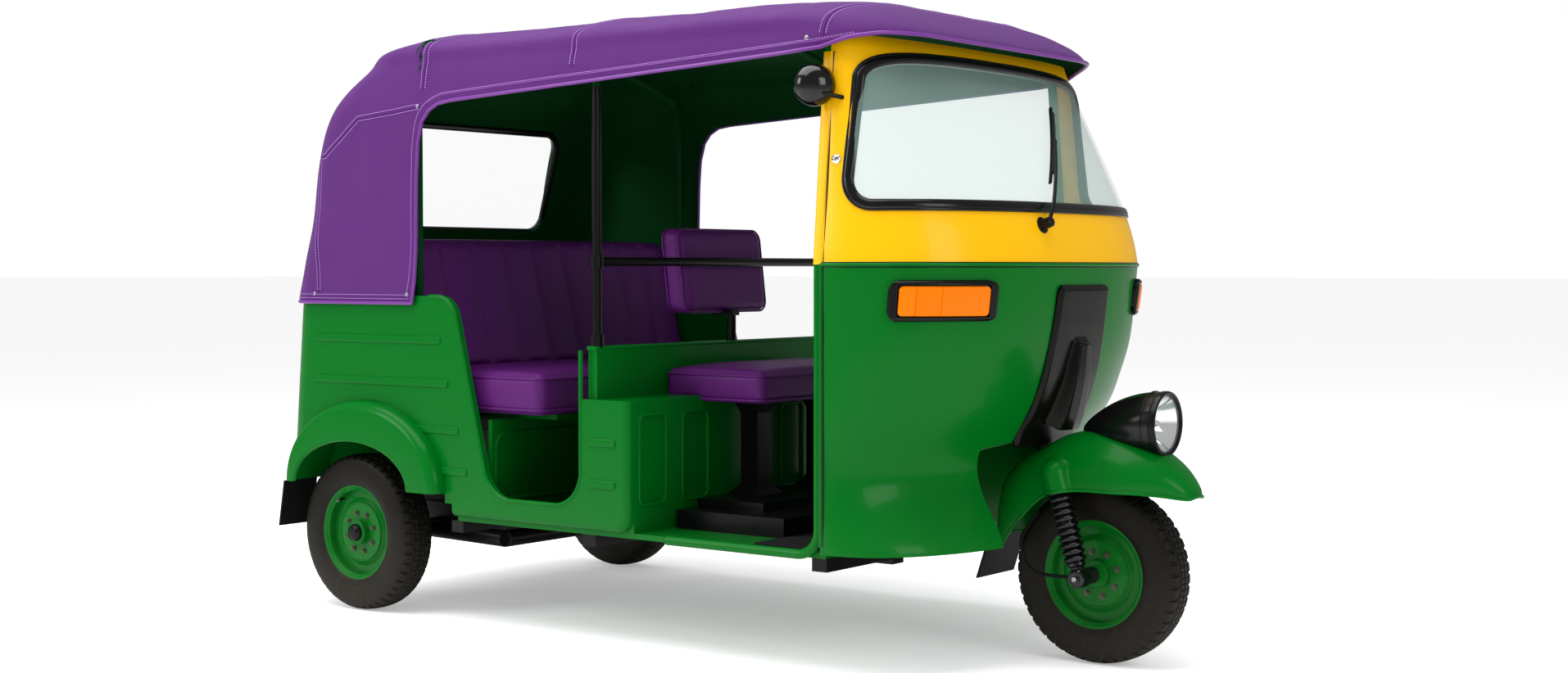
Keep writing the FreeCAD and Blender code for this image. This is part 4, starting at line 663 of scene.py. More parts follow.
def stood(ring: Array, x: float | Array, across: float, up: float) -> Array:
    """An outline of (across, up) points stood square to X, its middle at the place."""
    return np.column_stack([x + 0 * ring[:, 0], ring[:, 0] + across, ring[:, 1] + up])


def rounded_block(name: str, low: Numbers, high: Numbers, radius: float,
                  shape: Callable[[Array, Array, Array], Array], kind: Look,
                  cells: Sequence[int] = (60, 120, 24)) -> Piece:
    """A closed block with round edges whose points a function then moves.

    Each of the six faces is a grid on the box; a point is drawn to the nearest point of the inner box,
    which is smaller by the radius, and set at the radius from it.

    Args:
        name: the piece's name.
        low: lowest corner.
        high: highest corner.
        radius: the edges' radius.
        shape: gets points, their outward normals and their shares of the half sizes; gives points.
        kind: the finish.
        cells: grid cells along x, y and z.

    Returns:
        The object.
    """
    low, high = np.asarray(low, float), np.asarray(high, float)
    half, centre = (high - low) / 2, (high + low) / 2
    points, faces, count = [], [], 0
    for axis in range(3):
        others = [k for k in range(3) if k != axis]
        spans = [bent_line(cells[k], radius / half[k]) * half[k] for k in others]
        first, second = np.meshgrid(*spans, indexing="ij")
        for way in (-1, 1):
            patch = np.empty(first.shape + (3,))
            patch[..., axis] = way * half[axis]
            patch[..., others[0]], patch[..., others[1]] = first, second
            points.append(patch.reshape(-1, 3))
            faces.append(grid_faces(*first.shape) + count)
            count += first.size
    points, faces = np.concatenate(points), np.concatenate(faces)
    core = np.clip(points, -(half - radius), half - radius)
    normal = unit(points - core)
    moved = shape(core + radius * normal, normal, points / half)
    return clean(new_mesh(name, centre + moved, faces, kind))


def bent_line(cells: int, edge: float) -> Array:
    """Places from -1 to 1, a quarter of them within each end's rounding."""
    inner = max(cells // 2, 2)
    outer = max(cells // 4, 5)
    edge = min(edge, 0.45)
    turn = np.linspace(np.pi / 4, 0, outer, endpoint=False)
    rim = 1 - edge * (1 - np.tan(turn))
    return np.concatenate([-rim, np.linspace(-(1 - edge), 1 - edge, inner + 1), rim[::-1]])


def pad(name: str, half: Numbers, radius: float, height: Callable[[Array, Array], Array], sunk: float,
        lay: Callable[[Array, Array, Array], Array], kind: Look,
        cells: Sequence[int] = (72, 36)) -> Piece:
    """A raised pad with a rounded rectangle's outline, laid on a curved face.

    A grid over the square has its corners drawn in to quarter circles; its rim row drops to the sunk
    level, where a second grid closes it.

    Args:
        name: the piece's name.
        half: half sizes across and up.
        radius: the corners' radius.
        height: gives the height over the face from places across and up.
        sunk: how deep the underside lies in the face.
        lay: gives points from places across, up and heights.
        kind: the finish.
        cells: grid cells across and up.

    Returns:
        The object.
    """
    lines = [np.concatenate([[-1.0], np.linspace(-1, 1, count + 1), [1.0]]) for count in cells]
    first, second = np.meshgrid(*lines, indexing="ij")
    flat = (first * half[0], second * half[1])
    corner = [np.clip((np.abs(part) - (size - radius)) / radius, 0, 1) for part, size in zip(flat, half)]
    reach = [np.minimum(np.abs(part), size - radius) for part, size in zip(flat, half)]
    across, up = (np.sign(flat[k]) * (reach[k] + radius * corner[k] * np.sqrt(1 - 0.5 * corner[1 - k] ** 2))
                  for k in (0, 1))
    level = height(across, up)
    level[[0, -1], :] = -sunk
    level[:, [0, -1]] = -sunk
    points = np.concatenate([lay(across, up, level).reshape(-1, 3),
                             lay(across, up, np.full_like(level, -sunk)).reshape(-1, 3)])
    faces = grid_faces(*first.shape)
    return clean(new_mesh(name, points, np.concatenate([faces, faces[:, ::-1] + first.size]), kind), 40)


def step_up(value: Array, low: float, high: float) -> Array:
    """A smooth step from 0 at `low` to 1 at `high`."""
    share = np.clip((value - low) / (high - low), 0, 1)
    return share * share * (3 - 2 * share)


# CAD pieces


SLOT_FINISH = {
    "green_paint": Look.GREEN, "yellow_paint": Look.YELLOW, "black_metal": Look.BLACK_PAINT,
    "grey_metal": Look.CASTING, "hood_fabric": Look.HOOD, "seat_leather": Look.SEAT,
    "black_plastic": Look.BLACK_PLASTIC, "black_rubber": Look.RUBBER, "tyre_rubber": Look.TYRE,
    "clear_glass": Look.GLASS, "amber_plastic": Look.AMBER, "red_plastic": Look.RED}
SLOT_OF = {part["node"]: part["material_slot"] for part in frame["record"]["subparts"]}


def place(obj: Piece, body: str, slot: str, *nodes: str) -> Piece:
    """Ride a finished piece on a body, and hide the CAD nodes it stands for."""
    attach(obj, body)
    if nodes:
        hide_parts(*nodes)
    return obj


@dataclass
class CadDress:
    """Look of the CAD pieces that stay in view."""

    sharp_deg: float = 32.0

    def dress(self) -> None:
        """Give every CAD node its finish, with loose triangles welded and smooth between edges."""
        # The bench's base and the dash take the darker copy of the green paint: painted shade for the inside of
        # the cab.
        special = {"hood_frame": Look.LINING, "bench_base": Look.DEEP_GREEN, "dash_panel": Look.DEEP_GREEN,
                   "headlamp_lens": Look.CLEAR}
        for name, obj in frame["nodes"].items():
            kind = special.get(name, SLOT_FINISH[SLOT_OF[name]])
            obj.data.materials.clear()
            obj.data.materials.append(finish(kind))
            obj.data.shade_smooth()
            weld = obj.modifiers.new("weld", "WELD")
            weld.merge_threshold = 1e-5
            split = obj.modifiers.new("split", "EDGE_SPLIT")
            split.split_angle = math.radians(self.sharp_deg)


# Camera, stage and light


@dataclass
class Studio:
    """The photograph's camera, a pale floor and soft light."""

    place: Numbers = (3.4607, -4.518, 0.9803)
    yaw: float = 2.21408
    pitch: float = -0.03328
    lens: float = 46.78
    sensor: float = 36.0
    floor_size: float = 400.0
    # each lamp's name, place, target, size and power
    lamps: tuple = (("top_light", (-0.5, -1.0, 5.0), (0.0, 0.0, 0.6), 5.0, 340.0),
                    ("key_light", (-3.5, -5.0, 3.2), (0.0, 0.0, 0.9), 2.4, 130.0),
                    ("front_light", (5.5, -1.5, 2.6), (0.8, 0.0, 0.8), 2.2, 70.0))
    world_light: float = 0.62
    gloss_light: float = 0.3

    def camera(self) -> None:
        """Set up the camera at the photograph's angle."""
        data = bpy.data.cameras.new("photo_camera")
        data.lens = self.lens
        data.sensor_width = self.sensor
        data.sensor_fit = "HORIZONTAL"
        obj = linked("photo_camera", data)
        obj.location = self.place
        obj.rotation_euler = (math.pi / 2 + self.pitch, 0.0, self.yaw - math.pi / 2)
        bpy.context.scene.camera = obj

    def floor(self) -> None:
        """A pale floor that keeps the shadow."""
        half = self.floor_size / 2
        points = np.array([[-half, -half, 0], [half, -half, 0], [half, half, 0], [-half, half, 0]], float)
        new_mesh("studio_floor", points, np.array([[0, 1, 2, 3]]), Look.FLOOR)

    def backdrop(self) -> None:
        """A world that is white to the camera and through glass, softer as a light and dim in gloss."""
        world = bpy.data.worlds.new("studio_world")
        bpy.context.scene.world = world
        world.use_nodes = True
        nodes = Nodes(world.node_tree)
        rays = nodes.add("LightPath")
        seen = nodes.math("MAXIMUM", rays.outputs["Is Camera Ray"], rays.outputs["Is Transmission Ray"])
        shown = nodes.add("MapRange", Value=seen, To_Min=self.world_light, To_Max=1.0)
        level = nodes.math("MULTIPLY_ADD", rays.outputs["Is Glossy Ray"], self.gloss_light - self.world_light,
                           shown.outputs[0])
        white = world.node_tree.nodes["Background"]
        white.inputs["Color"].default_value = (1.0, 1.0, 1.0, 1.0)
        world.node_tree.links.new(level, white.inputs["Strength"])

    def lamp(self, name: str, place: Numbers, target: Numbers, size: float,
             power: float) -> None:
        """A square soft light at a place, turned towards a target."""
        data = bpy.data.lights.new(name, "AREA")
        data.energy = power
        data.size = size
        obj = linked(name, data)
        obj.location = place
        obj.rotation_euler = (Vector(target) - Vector(place)).to_track_quat("-Z", "Y").to_euler()

    def build(self) -> None:
        """Make the camera, floor, backdrop and lamps."""
        bpy.context.scene.view_settings.view_transform = "Standard"
        self.camera()
        self.floor()
        self.backdrop()
        for lamp in self.lamps:
            self.lamp(*lamp)


# Hood


@dataclass
class Hood:
    """The fabric hood: one curved cloth over roof, quarters and rear, with lining, seams and piping."""

    half: float = 0.6156
    hem: float = 0.884
    crown: float = 1.68
    rear: float = -1.2971
    front: float = 0.79
    cloth: float = 0.006
    piping: float = 0.005
    levels: int = 110
    # height, half width, rear and front reach as shares, and the rear and front corners' radii
    rows: tuple = ((0.0, 1.0, 1.0, 0.81, 0.11, 0.11), (0.032, 1.0, 1.0, 0.81, 0.11, 0.11),
                   (0.26, 1.0, 0.957, 0.82, 0.11, 0.11), (0.49, 1.0, 0.935, 0.835, 0.115, 0.123),
                   (0.65, 1.0, 0.905, 0.87, 0.125, 0.172), (0.75, 0.985, 0.868, 0.945, 0.15, 0.222),
                   (0.83, 0.965, 0.82, 1.0, 0.18, 0.24), (0.9, 0.93, 0.77, 0.905, 0.19, 0.234),
                   (0.95, 0.72, 0.6, 0.78, 0.18, 0.197), (0.98, 0.45, 0.36, 0.6, 0.15, 0.154),
                   (1.0, 0.16, 0.12, 0.3, 0.06, 0.06))
    # the lower edge over the doorway and the front, as (x, z)
    edge: tuple = ((-2.0, 0.884), (-0.756, 0.884), (-0.744, 0.95), (-0.738, 1.03), (-0.733, 1.239),
                   (-0.726, 1.33), (-0.71, 1.385), (-0.685, 1.414), (-0.65, 1.432), (-0.6, 1.4385),
                   (0.02, 1.47), (0.54, 1.4975), (0.62, 1.506), (0.68, 1.528), (0.74, 1.54), (2.0, 1.546))
    window: tuple = (0.4, 1.104, 1.415, 0.05)
    # one column stands upright here, this far along the side, where the doorway's edge climbs
    anchor_x: float = -0.745
    anchor_share: float = 0.75
    ring_x: float = -0.55
    ring_turns: tuple = (0.0, 0.75, 0.827, 0.97, 1.257, 1.36)
    ring_heights: tuple = (1.3, 1.3, 1.304, 1.405, 1.425, 1.432)
    corner_turn: float = 0.8
    hoops: tuple = (-0.79, -0.74, -0.69, -0.112, 0.28, 0.62)
    # the cross seams' x and how far down each side they reach, in radians about a line at this height
    roof_seams: tuple = ((-0.715, 1.15), (-0.165, 1.1), (0.625, 1.05))
    hoop_z: float = 1.2
    bow_x: float = -0.745
    # the stitched line beside the doorway's edge, and the studs, as (x, z)
    hem_line: tuple = ((-0.776, 0.912), (-0.766, 0.96), (-0.759, 1.04), (-0.754, 1.239), (-0.748, 1.335),
                       (-0.73, 1.402), (-0.7, 1.436), (-0.655, 1.456), (-0.6, 1.4625), (-0.3, 1.479),
                       (0.02, 1.494), (0.54, 1.5215), (0.62, 1.527), (0.7, 1.541))
    studs: tuple = ((-1.165, 0.908), (-0.778, 0.908), (-0.732, 1.428), (0.585, 1.53))

    def section(self, level: Array) -> Array:
        """Interpolate the rows smoothly at levels from 0 at the hem to 1 at the crown.

        Args:
            level: shares of the way up the cloth, any shape.

        Returns:
            Half width, rear x, front x, rear and front corner radius and z, on the last axis.
        """
        table = np.array(self.rows, float)
        knots = np.stack([self.half * table[:, 1], self.rear * table[:, 2], self.front * table[:, 3],
                          table[:, 4], table[:, 5], self.hem + (self.crown - self.hem) * table[:, 0]], axis=1)
        dense = smooth_curve(knots, 400)
        place = np.linspace(0, 1, 400)
        return np.stack([np.interp(level, place, dense[:, part]) for part in range(6)], axis=-1)

    def point(self, turn: Array, level: Array) -> Array:
        """Points of the cloth: a rounded rectangle at each level, walked once round by the turn.

        Args:
            turn: 0 at the front's middle, then the right side, the rear, the left side, up to 1.
            level: 0 at the hem to 1 at the crown.

        Returns:
            Points on the last axis.
        """
        half, rear, front, behind, ahead, z = np.moveaxis(self.section(level), -1, 0)
        walk = np.where(turn > 0.5, 1.0 - turn, turn)
        way = np.where(turn > 0.5, 1.0, -1.0)
        marks = (0.0, 0.055, 0.095, 0.37, 0.41, 0.5)
        share = [np.clip((walk - marks[k]) / (marks[k + 1] - marks[k]), 0, 1) for k in range(5)]
        first, second = share[1] * np.pi / 2, share[3] * np.pi / 2
        front_end, rear_end = front - ahead, rear + behind
        anchor = np.maximum(self.anchor_x, rear_end + 0.06)
        before = np.clip(share[2] / self.anchor_share, 0, 1)
        after = np.clip((share[2] - self.anchor_share) / (1 - self.anchor_share), 0, 1)
        x = (front - ahead * (1 - np.cos(first)) + (anchor - front_end) * before
             + (rear_end - anchor) * after - behind * np.sin(second))
        y = ((half - ahead) * share[0] + ahead * np.sin(first)
             - behind * (1 - np.cos(second)) - (half - behind) * share[4])
        return np.stack(np.broadcast_arrays(x, y * way, z), axis=-1)

    def start_level(self, turn: Array) -> Array:
        """The level where each column of cloth begins, found where it crosses the lower edge."""
        trial = np.linspace(0, 1, 1600)
        path = self.point(turn[:, None], trial[None, :])
        edge = np.array(self.edge)
        over = path[..., 2] - np.interp(path[..., 0], edge[:, 0], edge[:, 1])
        inside = over >= -1e-9
        last_out = trial.size - 1 - np.argmax(~inside[:, ::-1], axis=1)
        last_out = np.where(inside.all(axis=1), -1, last_out)
        index = np.clip(last_out, 0, trial.size - 2)
        rows = np.arange(turn.size)
        a, b = over[rows, index], over[rows, index + 1]
        share = np.clip(-a / np.where(np.abs(b - a) < 1e-9, 1e-9, b - a), 0, 1)
        return np.where(last_out < 0, 0.0, trial[index] + share * (trial[index + 1] - trial[index]))

    def turns(self) -> Array:
        """Column places round the cloth, closer together where the doorway's edge climbs."""
        steps = np.concatenate([np.linspace(0, 0.095, 40, endpoint=False),
                                np.linspace(0.095, 0.285, 56, endpoint=False),
                                np.linspace(0.285, 0.306, 96, endpoint=False),
                                np.linspace(0.306, 0.37, 22, endpoint=False), np.linspace(0.37, 0.5, 44)])
        return np.concatenate([steps, 1 - steps[-2:0:-1]])

    def drape(self, points: Array) -> Array:
        """Soft unevenness: the roof sags between hoops and the quarters have shallow slanting folds."""
        x, y, z = np.moveaxis(points, -1, 0)
        roof = np.clip((z - 1.45) / 0.12, 0, 1)
        nearest = np.min(np.abs(x[..., None] - np.array(self.hoops)), axis=-1)
        sag = -0.0045 * roof * np.clip(nearest / 0.16, 0, 1) ** 2
        low = np.clip((1.42 - z) / 0.2, 0, 1) * np.clip((z - 0.9) / 0.1, 0, 1)
        fold = 0.0016 * low * (np.sin(31 * y + 17 * z + 9 * x) + 0.6 * np.sin(23 * x - 29 * z + 1.7))
        ripple = 0.0007 * np.sin(41 * x + 13 * y) * np.sin(37 * y - 11 * x + 2.1 * np.sin(9 * z))
        rise = 0.006 * roof * np.exp(-((x - self.bow_x) / 0.045) ** 2)
        return sag + fold + ripple + rise

    def cloth_grid(self) -> Array:
        """The cloth's outer face as a grid, closed at the crown, with its drape along the normals."""
        turn = self.turns()
        start = self.start_level(turn)
        climb = np.linspace(0, 1, self.levels)[:, None]
        level = start[None, :] + (1 - start[None, :]) * climb
        points = self.point(np.broadcast_to(turn[None, :], level.shape), level)
        centre = points[-1].mean(axis=0)
        shrink = np.array([0.66, 0.33, 0.0])[:, None, None]
        cap = centre + (points[-1][None] - centre) * shrink
        cap[..., 2] = self.crown
        points = np.concatenate([points, cap])
        along = np.roll(points, -1, axis=1) - np.roll(points, 1, axis=1)
        up = np.gradient(points, axis=0)
        normal = unit(np.cross(along, up))
        outward = np.sign(np.sum(normal * (points - np.array([0, 0, 1.2])), axis=-1, keepdims=True))
        fade = np.clip(climb.size - 1 - np.arange(points.shape[0]), 0, 8)[:, None, None]
        drop = self.drape(points)[..., None] * fade / 8
        return points + normal * outward * drop - normal * outward * 0.001

    def window_cutter(self) -> Piece:
        """A rounded bar through the rear wall, for the window's hole."""
        half, low, high, radius = self.window
        outline = rounded_rectangle(half, (high - low) / 2, radius, 10)
        ends = np.stack([stood(outline, x, 0.0, (low + high) / 2) for x in (-1.5, -0.95)])
        return capped("window_cutter", ends, Look.LINING)

    def edge_path(self, side: int) -> Array:
        """The cloth's lower edge round one doorway, from the rear up and forward to the front's middle."""
        turn = self.turns()
        turn = turn[turn <= 0.5]
        start = self.start_level(turn)
        path = self.point(turn, start)[::-1]
        path[:, 1] *= -side
        return path

    def ring_rays(self, angle: Array, z: Array) -> tuple[Array, Array]:
        """Level rays towards a point inside the rear, the angle measured from straight behind."""
        out = np.stack([-np.cos(angle), np.sin(angle), np.zeros_like(angle)], axis=-1)
        centre = np.stack([np.full_like(angle, self.ring_x), np.zeros_like(angle), z], axis=-1)
        return centre + 3.0 * out, -out

    def hoop_rays(self, x: float, reach: float, count: int = 180) -> tuple[Array, Array]:
        """Rays in a plane square to the vehicle, fanned over the roof to the reach on both sides."""
        angle = np.linspace(-reach, reach, count)
        out = np.stack([np.zeros(count), np.sin(angle), np.cos(angle)], axis=-1)
        return np.array([x, 0.0, self.hoop_z]) + 3.0 * out, -out

    def side_rays(self, path: Array, side: int) -> tuple[Array, Array]:
        """Rays square to one side at (x, z) points, side -1 for the right."""
        starts = np.stack([path[:, 0], np.full(len(path), 2.0 * side), path[:, 1]], axis=1)
        return starts, np.array([0.0, -float(side), 0.0])

    def sewn(self, name: str, skin: Skin, rays: tuple[Array, Array], gap: float = 0.0,
             cord: float = 0.0026) -> list:
        """One seam: a low cord with a row of stitches beside it, or on both sides.

        Args:
            name: the seam's name.
            skin: the cloth.
            rays: starts and directions along the seam.
            gap: how far the stitches lie from the cord; none for stitches alone.
            cord: the cord's radius.

        Returns:
            The pieces.
        """
        path, normal = skin.hit(*rays)
        thread = Look.THREAD
        if not gap:
            return [stitches(name + "_thread", path + normal * 0.0004, normal, thread)]
        across = unit(np.cross(normal, unit(np.gradient(path, axis=0))))
        cloth = Look.HOOD
        made = [tube(name + "_cord", path, cord, cloth, up=(0.13, 0.2, 1.0), sides=10)]
        for way in (-1, 1):
            row, lean = skin.hit(path + across * gap * way + normal * 0.3, -normal)
            made.append(stitches("%s_thread%d" % (name, way), row + lean * 0.0004, lean, thread))
        return made

    def seams(self, skin: Skin) -> None:
        """Sew the roof's cross seams, the rear's ring seam, the corner seams and the hems."""
        made = []
        for number, (x, reach) in enumerate(self.roof_seams):
            made += self.sewn("roof_seam%d" % number, skin, self.hoop_rays(x, reach), 0.008)
        for side in (-1, 1):
            angle = side * np.linspace(self.corner_turn, 1.3, 150)
            height = np.interp(np.abs(angle), self.ring_turns, self.ring_heights)
            made += self.sewn("ring_seam%d" % side, skin, self.ring_rays(angle, height), 0.007)
        hem = np.linspace(-1.235, 1.235, 360)
        made += self.sewn("hem_seam", skin, self.ring_rays(hem, np.full_like(hem, self.hem + 0.023)))
        made += self.sewn("hem_row", skin, self.ring_rays(hem, np.full_like(hem, self.hem + 0.012)))
        for side in (-1, 1):
            corner = np.linspace(0, 1, 90)
            lower = np.full_like(corner, side * self.corner_turn)
            made += self.sewn("corner_seam%d" % side, skin,
                              self.ring_rays(lower, self.hem + 0.03 + corner * 0.39), 0.006)
            outline = smooth_curve(self.hem_line, 320)
            made += self.sewn("door_hem%d" % side, skin, self.side_rays(outline, side))
            fold, lean = skin.hit(*self.side_rays(outline[90:] + np.array([0.0, -0.0045]), side))
            made.append(tube("door_fold%d" % side, fold - lean * 0.0006, 0.0022, Look.PIPING,
                             up=(0.1, 0.2, 1.0), sides=8))
            for count, (x, z) in enumerate(self.studs):
                spot, out = skin.hit(*self.side_rays(np.array([[x, z]]), side))
                dome = [(0.0, 0.0032), (0.0024, 0.0029), (0.0046, 0.0018), (0.006, 0.0), (0.006, -0.002)]
                made.append(lathe("stud%d_%d" % (side, count), dome, spot[0], out[0], Look.STEEL, 20))
        place(joined("hood_seams", made), "cab", "hood_fabric")

    def edging(self) -> None:
        """Round piping sewn along every lower edge of the cloth."""
        made = []
        for side in (-1, 1):
            path = self.edge_path(side)
            keep = np.concatenate([[True], np.linalg.norm(np.diff(path, axis=0), axis=1) > 0.0006])
            made.append(tube("piping%d" % side, path[keep], self.piping, Look.PIPING,
                             up=(0.1, 0.25, 1.0), sides=12))
        place(joined("hood_piping", made), "cab", "hood_fabric")

    def build(self) -> None:
        """Make the cloth with its lining, then its seams and piping."""
        cloth = surface("canopy_cloth", self.cloth_grid(), Look.HOOD, wrap_columns=True)
        skin = Skin(cloth)
        for kind in (Look.LINING, Look.HOOD):
            cloth.data.materials.append(finish(kind))
        wall = cloth.modifiers.new("wall", "SOLIDIFY")
        wall.thickness = self.cloth
        wall.offset = -1
        wall.use_even_offset = False
        wall.material_offset = 1
        wall.material_offset_rim = 2
        bake(cloth)
        carve(cloth, self.window_cutter(), 60)
        place(cloth, "cab", "hood_fabric", "canopy")
        self.seams(skin)
        self.edging()
        LOG.info("canopy cloth: %d faces", len(cloth.data.polygons))


# Wheels


@dataclass
class Wheel:
    """A road wheel: a treaded tyre, and the nuts, hub cap, valve and rolled rings of its rim."""

    where: str
    centre: tuple
    outboard: int
    capped_hub: bool
    nuts: int = 8
    nut_ring: float = 0.056
    disc: float = 0.028
    lugs: int = 46
    around: int = 552
    groove: float = 0.0055
    # (radius, across) of the tyre from bead to crown, the grooves' places, and the sidewall's rings as
    # radius, width and height
    section: tuple = ((0.1285, 0.0405), (0.131, 0.0455), (0.137, 0.0495), (0.152, 0.0545), (0.172, 0.0558),
                      (0.192, 0.0545), (0.205, 0.0515), (0.2125, 0.0475), (0.2185, 0.0405), (0.2222, 0.028),
                      (0.2238, 0.014), (0.224, 0.0))
    grooves: tuple = (-0.0195, 0.0, 0.0195)
    rings: tuple = ((0.1465, 0.0012, 0.0007), (0.158, 0.0009, 0.0005), (0.196, 0.001, 0.0006),
                    (0.2015, 0.0009, 0.0006))

    def tyre(self) -> Piece:
        """The tyre: a rounded profile turned round, its tread cut by wavy grooves and shoulder slots.

        A point is (radius, across) of the profile; the tread's radius falls by the groove's depth where
        the distance to a wavy groove line, or to a slot between two shoulder lugs, is small.
        """
        side = smooth_curve(self.section, 64)
        profile = np.concatenate([side, side[-2::-1] * np.array([1, -1])])
        turn = np.linspace(0, 2 * np.pi, self.around, endpoint=False)
        radius = np.repeat(profile[:, 0][:, None], self.around, 1)
        across = np.repeat(profile[:, 1][:, None], self.around, 1)
        wave = 0.0016 * np.sign(np.sin(turn * self.lugs))
        tread = np.clip((radius - 0.2165) / 0.002, 0, 1)
        cut = np.zeros_like(radius)
        for middle in self.grooves:
            near = np.abs(across - middle - wave[None, :])
            cut = np.maximum(cut, np.clip((0.0026 - near) / 0.0009, 0, 1) * tread)
        pitch = (turn * self.lugs / (2 * np.pi)) % 1.0
        slot = np.clip((0.13 - np.abs(pitch - 0.5)) / 0.035, 0, 1)[None, :]
        shoulder = np.clip((np.abs(across) - 0.026) / 0.0015, 0, 1) * np.clip((radius - 0.211) / 0.003, 0, 1)
        cut = np.maximum(cut, slot * shoulder * 0.85)
        sipe = np.clip((0.045 - np.abs((pitch * 2) % 1.0 - 0.5)) / 0.02, 0, 1)[None, :]
        inner = np.clip((0.0245 - np.abs(across)) / 0.001, 0, 1) * tread
        cut = np.maximum(cut, sipe * inner * 0.5)
        rings = np.zeros_like(radius)
        for ring, width, height in self.rings:
            rings += height * np.exp(-((radius - ring) / width) ** 2)
        radius = radius - self.groove * cut
        across = across + np.sign(across) * (rings - 0.0012 * cut * shoulder)
        points = np.stack([self.centre[0] + radius * np.cos(turn), self.centre[1] + across,
                           self.centre[2] + radius * np.sin(turn)], axis=-1)
        return surface("tyre_" + self.where + "_tread", points, Look.TYRE, wrap_columns=True,
                       sharp_deg=50)

    def rim_trim(self) -> list:
        """Nuts with studs and washers, rolled rings, a ringed hub cap and the valve."""
        out = np.array([0.0, float(self.outboard), 0.0])
        centre = np.array(self.centre)
        # each fastener's name, steps round, sharp angle and profile
        parts = (("nut", 6, 20, [(0.0, 0.007), (0.0058, 0.007), (0.0072, 0.006), (0.0074, 0.0), (0.0, -0.001)]),
                 ("stud_end", 20, 30, [(0.0, 0.011), (0.003, 0.0106), (0.0036, 0.0095), (0.0036, 0.0),
                                       (0.0, 0.0)]),
                 ("washer", 28, 30, [(0.0, 0.0014), (0.0092, 0.0014), (0.0096, 0.0), (0.0, 0.0)]))
        made = []
        for count in range(self.nuts):
            angle = 2 * np.pi * (count + 0.35) / self.nuts
            spot = centre + self.nut_ring * np.array([np.cos(angle), 0.0, np.sin(angle)]) + out * self.disc
            made += [lathe("%s%d" % (name, count), profile, spot, out, Look.NUT, steps, sharp)
                     for name, steps, sharp, profile in parts]
        turn = np.linspace(0, 2 * np.pi, 9)
        for radius, level, thick in ((0.1372, 0.0465, 0.003), (0.0835, self.disc, 0.0028),
                                     (0.0345, 0.0455, 0.0022)):
            ring = np.column_stack([radius + thick * np.cos(turn), level + thick * np.sin(turn)])
            made.append(lathe("rim_ring%d" % round(radius * 1000), ring, centre, out, Look.GREEN, 128, 80))
        if self.capped_hub:
            cap = [(0.0, 0.06), (0.006, 0.06), (0.0066, 0.059), (0.008, 0.059), (0.009, 0.0605),
                   (0.013, 0.06), (0.014, 0.0585), (0.0155, 0.0585), (0.0165, 0.0595), (0.0205, 0.0575),
                   (0.0235, 0.054), (0.0245, 0.049), (0.0245, 0.044), (0.0, 0.044)]
            made.append(lathe("hub_cap", cap, centre, out, Look.BLACK_PLASTIC, 64))
        valve = smooth_curve([(0.112, 0.03), (0.1125, 0.04), (0.11, 0.05)], 10)
        line = centre + valve[:, :1] * np.array([np.cos(2.2), 0.0, np.sin(2.2)]) + valve[:, 1:] * out
        made.append(tube("valve", line, 0.0036, Look.RUBBER, up=(1, 0, 0)))
        cap = [(0.0, 0.01), (0.0038, 0.009), (0.0042, 0.0), (0.0, -0.001)]
        made.append(lathe("valve_cap", cap, line[-1], line[-1] - line[-2], Look.NUT, 16))
        return made

    def build(self) -> None:
        """Make the tyre and the rim's trim and hang them on the wheel's body."""
        tyre = self.tyre()
        place(tyre, "wheel_" + self.where, "tyre_rubber", "tyre_" + self.where)
        place(joined("rim_trim_" + self.where, self.rim_trim()), "wheel_" + self.where, "green_paint")
        LOG.info("%s: %d faces", tyre.name, len(tyre.data.polygons))


# Seats


AS_IS = ((0.0, 0.0, 0.0), (0.0, 0.0, 0.0))


def grown(node: str, grow: Sequence[Numbers]) -> tuple[Array, Array]:
    """The low and high corner of a CAD node's box, each moved out by its growth."""
    low, high = (np.array(corner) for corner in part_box(node))
    return low - np.array(grow[0]), high + np.array(grow[1])


